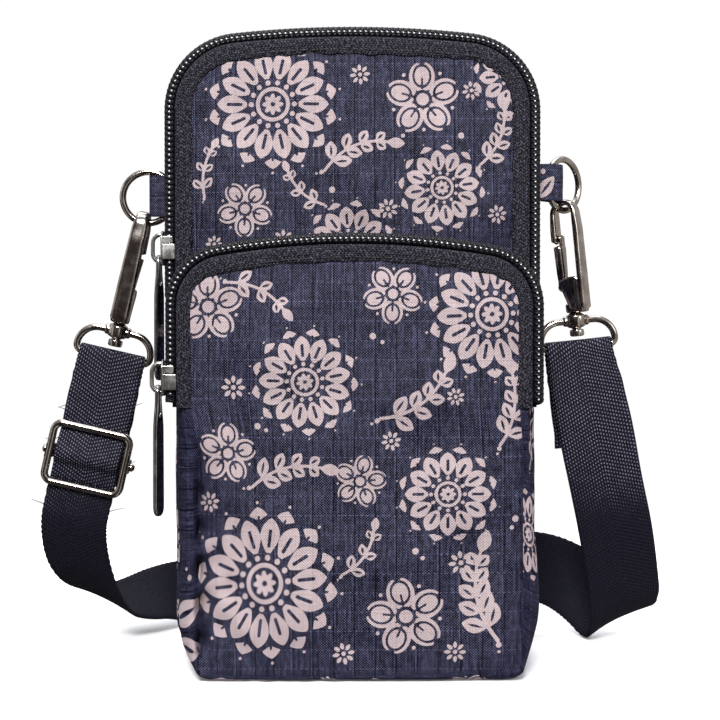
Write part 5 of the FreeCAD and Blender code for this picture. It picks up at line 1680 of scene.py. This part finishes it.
# ================================================================== swivel hooks
def sweep(yz, half_w, half_t, n=22, power=3.0):
    """A bar along points (y, z) with a rounded flat section; half_w lies along local x."""
    Q = np.asarray(yz, float)
    T = np.gradient(Q, axis=0)
    T /= np.linalg.norm(T, axis=1)[:, None]
    N = np.stack([-T[:, 1], T[:, 0]], -1)
    a = np.arange(n) * 2 * PI / n
    c, d = np.cos(a), np.sin(a)
    cx = np.sign(c) * np.abs(c) ** (2 / power)
    cy = np.sign(d) * np.abs(d) ** (2 / power)
    V = np.zeros((len(Q), n, 3))
    V[:, :, 0] = np.asarray(half_w)[:, None] * cx[None, :]
    off = np.asarray(half_t)[:, None] * cy[None, :]
    V[:, :, 1] = Q[:, 0:1] + N[:, 0:1] * off
    V[:, :, 2] = Q[:, 1:2] + N[:, 1:2] * off
    F = [quads(len(Q), n, wrap_v=True)]
    V = V.reshape(-1, 3)
    V = np.concatenate([V, [[0, Q[0, 0], Q[0, 1]], [0, Q[-1, 0], Q[-1, 1]]]])
    i = np.arange(n)
    j = (i + 1) % n
    e = (len(Q) - 1) * n
    F.append(np.stack([np.full(n, len(Q) * n), j, i, i], -1))
    F.append(np.stack([np.full(n, len(Q) * n + 1), e + i, e + j, e + j], -1))
    return V, np.concatenate(F)


def ends(t, r=0.10):
    """Draws a bar's two ends in, so that they are rounded."""
    t = np.asarray(t, float)
    e = np.minimum(t, 1 - t) / r
    return np.sqrt(np.clip(1 - (1 - np.clip(e, 0, 1)) ** 2, 0.02, 1))


def hook_meshes(side, place, turn):
    rot, base = place
    c, q = math.cos(math.radians(turn)), math.sin(math.radians(turn))
    rz = np.array([[c, -q, 0], [q, c, 0], [0, 0, 1.0]])

    def world(V):
        return base + np.asarray(V) @ (rot @ rz).T

    def width(z):
        return np.interp(z, [0, 12, 29, 34.2], [2.75, 2.7, 2.35, 1.7])

    b = Build()
    def out(z):
        return float(np.interp(z, [0, 25.5, 29.5], [3.62, 3.62, 3.42]))

    leg = [(-out(z), z) for z in np.linspace(0.3, 29.0, 26)] + [(-3.42 * math.cos(a), 30 + 3.42 * math.sin(a)) for a in np.linspace(0, PI, 22)] + [(out(z), z) for z in np.linspace(29.0, 21.1, 10)]
    zz = np.array([z for _, z in leg])
    run = np.concatenate([[0], np.cumsum(np.hypot(*np.diff(np.array(leg), axis=0).T))])
    e = ends(run / run[-1], 0.018)
    V, F = sweep(leg, width(zz) * e, np.interp(zz, [0, 25.5, 29.5, 34], [1.08, 1.08, 0.90, 0.86]) * e)
    b.add(world(V), F)
    # base: a floor with two cheeks that hold the gate's pin
    fl = [(y, 1.5) for y in np.linspace(-4.1, 2.2, 14)]
    e = ends(np.linspace(0, 1, 14), 0.14)
    V, F = sweep(fl, 2.6 * e ** 0.4, 1.5 * e ** 0.5, power=4.0)
    b.add(world(V), F)
    t = np.linspace(0, 1, 24)
    back = np.full(24, -3.6)
    fore = np.interp(t, [0, 0.15, 0.55, 0.80, 0.93, 1.0], [0.9, 1.1, 2.5, 3.6, 3.2, 1.6])
    for sx in (-1, 1):
        pts = np.stack([(back + fore) / 2, 1.0 + 9.9 * t], -1)
        V, F = sweep(pts, 0.42 * ends(t, 0.06), (fore - back) / 2, power=3.4)
        V[:, 2] = np.repeat(pts[:, 1], 22).tolist() + [pts[0, 1], pts[-1, 1]]
        tz = (V[:, 2] - 1.0) / 9.9
        fz = np.interp(tz, t, fore)
        V[:, 0] += sx * (1.95 + 0.55 * np.clip(1 - ((V[:, 1] - (fz - 3.6) / 2) / ((fz + 3.6) / 2)) ** 2, 0, 1))
        b.add(world(V), F)
    body = clean(b.done(side + "_hook_shape", [NICKEL]))
    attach(body, side + "_hook")
    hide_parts(side + "_hook_body")
    g = Build()
    lever = [(2.78, z) for z in np.linspace(8.6, 20.75, 22)]
    t = np.linspace(0, 1, 22)
    V, F = sweep(lever, np.interp(t, [0, 0.25, 1], [1.55, 1.8, 2.45]) * ends(t, 0.05), np.interp(t, [0, 0.3, 1], [1.2, 1.42, 1.46]) * ends(t, 0.05))
    g.add(world(V), F)
    blade = [(1.88, z) for z in np.linspace(19.5, 23.9, 9)]
    V, F = sweep(blade, 1.55 * ends(np.linspace(0, 1, 9), 0.2), 0.52 * ends(np.linspace(0, 1, 9), 0.2))
    g.add(world(V), F)
    x = np.linspace(-1.58, 1.58, 7)
    V, F = tube(np.stack([x, np.full(7, 2.4), np.full(7, 8.0)], -1), 1.48, 18, ref=np.array([0, 0, 1.0]))
    g.add(world(V), F)
    gate = clean(g.done(side + "_gate_shape", [NICKEL]))
    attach(gate, side + "_gate")
    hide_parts(side + "_hook_gate")


hook_meshes("left", LEFT_HOOK, 0.0)
hook_meshes("right", RIGHT_HOOK, 57.0)


def post_mesh(side, place):
    """The turned post: a collar round the D-ring's wire, a neck and a foot."""
    rot, base = place
    prof = [(0.9, 0.2), (1.5, 0.1), (1.9, -0.2), (2.7, -0.7), (2.95, -1.3), (2.95, -3.5), (2.7, -4.1), (1.9, -4.5), (1.35, -4.65), (1.3, -4.95), (1.85, -5.05), (2.15, -5.35), (2.15, -6.7), (1.85, -7.05), (1.2, -7.15), (0.05, -7.15)]
    P = np.array([(0, 0, z) for _, z in prof], float)
    n = 24
    a = np.arange(n) * 2 * PI / n
    V = np.array([[(r * math.cos(q), r * math.sin(q), z) for q in a] for r, z in prof]).reshape(-1, 3)
    b = Build()
    b.add(V @ rot.T + base, quads(len(prof), n, wrap_v=True))
    for sx in (-1, 1):
        x = sx * np.linspace(1.6, 4.2, 7)
        P = np.stack([x, np.zeros(7), np.full(7, -2.4)], -1)
        V, F = tube(P @ rot.T + base, 1.55, 16, taper=ends(np.linspace(0.25, 1, 7), 0.22))
        b.add(V, F)
    ob = clean(b.done(side + "_post_shape", [NICKEL]))
    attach(ob, "pouch")
    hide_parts(side + "_swivel_post")
    smooth_by_angle(ob)


post_mesh("left", LEFT_HOOK)
post_mesh("right", RIGHT_HOOK)


def adjuster_studs():
    """The rounded ends of the adjuster's middle bar, outside its frame."""
    rot, base = LEFT_HOOK
    b = Build()
    for sx in (-1, 1):
        x = sx * np.linspace(11.8, 14.1, 8)
        e = ends(np.linspace(0, 1, 8), 0.3)
        P = np.stack([x, np.full(8, -1.2), np.full(8, -41.4)], -1)
        V, F = tube(P @ rot.T + base, 1.15, 16, taper=e)
        b.add(V, F)
    ob = clean(b.done("adjuster_studs", [NICKEL]))
    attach(ob, "adjuster")


adjuster_studs()


def adjuster_turn():
    """The turn of webbing over the adjuster's middle bar: it swells out of the leg, over the bar and back under it."""
    rot, base = LEFT_HOOK
    z = np.concatenate([np.linspace(7.5, 1.5, 16), np.linspace(1.2, -3.4, 24), np.linspace(-3.8, -7.5, 8)])
    rise = np.interp(z, [-7.5, -4.6, -3.3, -2.5, -1.7, -0.9, 0.2, 1.4, 3.0, 5.0, 7.5], [0.02, 0.06, 0.20, 1.05, 2.10, 2.62, 2.70, 2.42, 1.80, 1.00, 0.02])
    for _ in range(3):
        rise[1:-1] = 0.25 * rise[:-2] + 0.5 * rise[1:-1] + 0.25 * rise[2:]
    run = np.concatenate([[0], np.cumsum(np.hypot(np.diff(z), np.diff(rise)))])
    across = np.linspace(-1, 1, 25)
    b = Build()
    n, k = len(z), len(across)
    front, back, UV = np.zeros((n, k, 3)), np.zeros((n, k, 3)), np.zeros((n, k, 3))
    for j, a in enumerate(across):
        round_off = 1.0 - 0.16 * abs(a) ** 6
        x = a * 9.75 + 0.08 * np.sin(2 * PI * run / 1.2) * (abs(a) > 0.99)
        y = -2.46 - rise * round_off * (1.0 + 0.05 * math.sin(3.1 * a + 0.6))
        front[:, j] = np.stack([x, y, z - 41.4], -1)
        back[:, j] = np.stack([x, np.full(n, -2.05), z - 41.4], -1)
        UV[:, j, 0] = a * 9.75
        UV[:, j, 1] = run
    q = quads(n, k)
    b.add(front.reshape(-1, 3) @ rot.T + base, q, cloth=UV.reshape(-1, 3))
    b.add(back.reshape(-1, 3) @ rot.T + base, q[:, ::-1], cloth=UV.reshape(-1, 3))
    for j, flip in ((0, False), (k - 1, True)):
        rim = np.stack([front[:, j], back[:, j]], 1)
        w = quads(n, 2)
        b.add(rim.reshape(-1, 3) @ rot.T + base, w if flip else w[:, ::-1], cloth=np.repeat(UV[:, j], 2, 0))
    for i, flip in ((0, True), (n - 1, False)):
        rim = np.stack([front[i], back[i]], 1)
        w = quads(k, 2)
        b.add(rim.reshape(-1, 3) @ rot.T + base, w if flip else w[:, ::-1], cloth=np.repeat(UV[i], 2, 0))
    ob = clean(b.done("adjuster_turn", [WEB]))
    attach(ob, "adjuster")


adjuster_turn()


def thread_ends():
    """A few loose ends of thread at the strap's edges."""
    g = np.random.default_rng(17)
    b = Build()
    spots = [(60.0, -1), (61.5, -1), (74.0, 1), (56.0, 1), (88.0, 1), (69.0, -1), (90.0, -1)]
    for at, side in spots:
        i = int(np.searchsorted(STRAP_S, at))
        p0 = MID[i] + wid[i] * side * 9.9
        d = wid[i] * side + tan[i] * g.uniform(-0.8, 0.8) + nor[i] * g.uniform(-0.4, 0.4)
        d /= np.linalg.norm(d)
        k = tan[i] * g.uniform(-1, 1) + nor[i] * g.uniform(-0.6, 0.6)
        ln = g.uniform(2.2, 5.0)
        t = np.linspace(0, 1, 8)[:, None]
        P = p0 + d * ln * t + k * 0.35 * ln * t * t
        V, F = tube(P, 0.13, 5, taper=np.linspace(1, 0.5, 8))
        b.add(V, F)
    ob = clean(b.done("thread_ends", [THREAD]))
    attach(ob, "pouch")


thread_ends()


# ================================================================== metal that keeps its solid
def finish_metal(names, mat, bevel=0.0):
    for n in names:
        ob = NODES[n]
        ob.data.materials.clear()
        ob.data.materials.append(mat)
        if bevel:
            m = ob.modifiers.new("edge", "BEVEL")
            m.width, m.segments, m.limit_method, m.angle_limit = bevel * MM, 2, "ANGLE", math.radians(40)
            m.harden_normals = False
            ob.modifiers.new("weighted", "WEIGHTED_NORMAL").keep_sharp = True


def wire_look(name, body, grow):
    """A bent wire with its plating: the solid's own shape, a little fuller."""
    src = NODES[name]
    bm = bmesh.new()
    bm.from_mesh(src.data)
    bm.transform(src.matrix_world)
    bmesh.ops.remove_doubles(bm, verts=bm.verts, dist=2e-6)
    bmesh.ops.recalc_face_normals(bm, faces=bm.faces)
    bm.normal_update()
    for v, n in [(v, v.normal.copy()) for v in bm.verts]:
        v.co += n * grow * MM
    me = bpy.data.meshes.new(name + "_wire")
    bm.to_mesh(me)
    bm.free()
    me.materials.append(NICKEL)
    for f in me.polygons:
        f.use_smooth = True
    ob = bpy.data.objects.new(name + "_wire", me)
    bpy.context.scene.collection.objects.link(ob)
    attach(ob, body)
    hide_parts(name)


for side in ("left", "right"):
    wire_look(side + "_o_ring", side + "_ring", 0.14)
    wire_look(side + "_d_ring", "pouch", 0.13)
finish_metal(["adjuster_frame", "adjuster_bar"], NICKEL)
finish_metal(["left_gate_pin", "right_gate_pin"], NICKEL)
finish_metal(["left_gate_spring", "right_gate_spring"], STEEL)


# ================================================================== the parts that ride on the strap
on_strap = [NODES[n] for n in ("adjuster_frame", "adjuster_bar", "left_gate_pin", "left_gate_spring", "right_gate_pin", "right_gate_spring")]
on_strap += [bpy.data.objects[s + n] for s in ("left_", "right_") for n in ("hook_shape", "gate_shape", "post_shape", "d_ring_wire")]
on_strap += [bpy.data.objects[n] for n in ("adjuster_studs", "adjuster_turn", "thread_ends")]


# ================================================================== floor and light
def rays(ob, seen):
    """Seen: drawn for the camera and giving no light. Otherwise: giving bounced light and not drawn."""
    ob.visible_camera = seen
    ob.visible_diffuse = not seen
    ob.visible_glossy = False
    ob.visible_transmission = False
    ob.visible_shadow = False


def stage_floor():
    xs = np.linspace(-3, 3, 13)
    V = np.array([[(x, y, -0.00015) for y in xs] for x in xs]).reshape(-1, 3) / MM
    M = Mat("floor_paper")
    q = M.noise(M.place(), 6.0, 2.0)
    x, y, _ = M.xyz(M.place())
    far = M.step(M.math("SQRT", x * x + (y - 0.03) * (y - 0.03)), 0.16, 0.42)
    near = M.mix(M.step(q, 0.3, 0.7), (0.885, 0.885, 0.895), (0.905, 0.905, 0.915))
    M.set(Base_Color=M.mix(far, near, (0.0, 0.0, 0.0)), Roughness=0.75)
    M.p.inputs["Specular IOR Level"].default_value = 0.0
    M.p.inputs["Emission Color"].default_value = (1.0, 1.0, 1.0, 1.0)
    M.put(M.p.inputs["Emission Strength"], far * 0.95 + 0.07)
    rays(new_mesh("floor", V, quads(len(xs), len(xs)), [M.m]), True)
    # pale backdrop all round
    M = Mat("backdrop_paper")
    M.set(Base_Color=(0.0, 0.0, 0.0), Roughness=1.0)
    M.p.inputs["Specular IOR Level"].default_value = 0.0
    M.p.inputs["Emission Color"].default_value = (1.0, 1.0, 1.0, 1.0)
    M.p.inputs["Emission Strength"].default_value = 1.02
    rows, cols = 13, 32
    V = np.array([[(2.9 * math.cos(e) * math.cos(a), 2.9 * math.cos(e) * math.sin(a), 2.9 * math.sin(e) - 0.4) for e in np.linspace(-0.25, 1.52, rows)] for a in np.arange(cols) * 2 * PI / cols]).reshape(-1, 3) / MM
    rays(new_mesh("backdrop", V, quads(cols, rows, wrap_u=True, flip=True), [M.m]), True)
    # the surface that the light bounces from
    M = Mat("bounce_paper")
    _, y, _ = M.xyz(M.place())
    M.set(Base_Color=M.mix(M.step(y, -0.10, 0.01), (0.05, 0.05, 0.055), (0.89, 0.89, 0.90)), Roughness=0.9)
    M.p.inputs["Specular IOR Level"].default_value = 0.0
    V = np.array([[(x, y, -0.0008) for y in xs] for x in xs]).reshape(-1, 3) / MM
    rays(new_mesh("bounce", V, quads(len(xs), len(xs)), [M.m]), False)


stage_floor()


def area(name, at, look, size, power, colour=(1, 1, 1), size_y=None):
    d = bpy.data.lights.new(name, "AREA")
    d.energy, d.color, d.size = power, colour, size
    if size_y:
        d.shape, d.size_y = "RECTANGLE", size_y
    o = bpy.data.objects.new(name, d)
    o.location = at
    o.rotation_euler = (Vector(look) - Vector(at)).to_track_quat("-Z", "Y").to_euler()
    bpy.context.scene.collection.objects.link(o)


area("key", (-0.10, -0.98, 0.76), (0, 0, 0.13), 0.34, 22.5, (1.0, 0.99, 0.985))
area("fill", (0.75, -0.60, 0.45), (0, 0, 0.08), 0.40, 2.0, (0.96, 0.98, 1.0))
area("top", (0.0, 0.15, 1.20), (0, 0.1, 0), 1.00, 11.0, (0.95, 0.97, 1.0))
area("rim_left", (-0.85, 0.05, 0.35), (0, 0, 0.08), 0.40, 0.5, (0.97, 0.98, 1.0))
area("back", (0.0, 0.55, 0.9), (0, 1.2, 0.35), 1.20, 16.0, (1, 1, 1), 0.6)

world = bpy.data.worlds.new("studio")
bpy.context.scene.world = world
world.use_nodes = True
W = Mat.__new__(Mat)
W.t = world.node_tree
W.t.nodes.clear()
bg = W.t.nodes.new("ShaderNodeBackground")
wo = W.t.nodes.new("ShaderNodeOutputWorld")
W.t.links.new(bg.outputs[0], wo.inputs[0])
tc = W.t.nodes.new("ShaderNodeTexCoord")
wx, wy, wz = W.xyz(tc.outputs["Generated"])
dark = W.step(wy, 0.30, -0.25) * (1.0 - W.step(wz, 0.40, 0.80))
front = W.mix(W.step(wx, -0.45, 0.40), (0.13, 0.11, 0.105), (0.30, 0.28, 0.27))
front = W.mix(W.step(wx, 0.55, 0.85), front, (0.95, 0.87, 0.80))
front = W.mix(W.step((wx + 0.10).abs(), 0.24, 0.14), front, (0.06, 0.05, 0.05))
front = W.mix(W.step((wx + 0.84).abs(), 0.10, 0.05), front, (1.50, 1.42, 1.36))
front = W.mix(W.step((wx - 0.44).abs(), 0.12, 0.05), front, (1.9, 1.84, 1.80))
low = W.mix(W.step(wx, 0.25, 0.65), (0.12, 0.11, 0.11), (0.95, 0.87, 0.80))
high = W.mix(W.step(wz, 0.02, 0.42), low, (0.92, 0.94, 1.02))
W.put(bg.inputs[0], W.mix(dark, high, front))
bg.inputs[1].default_value = 0.55
bpy.context.scene.view_settings.view_transform = "Standard"
bpy.context.scene.view_settings.look = "None"

# ================================================================== end
bpy.context.view_layer.update()
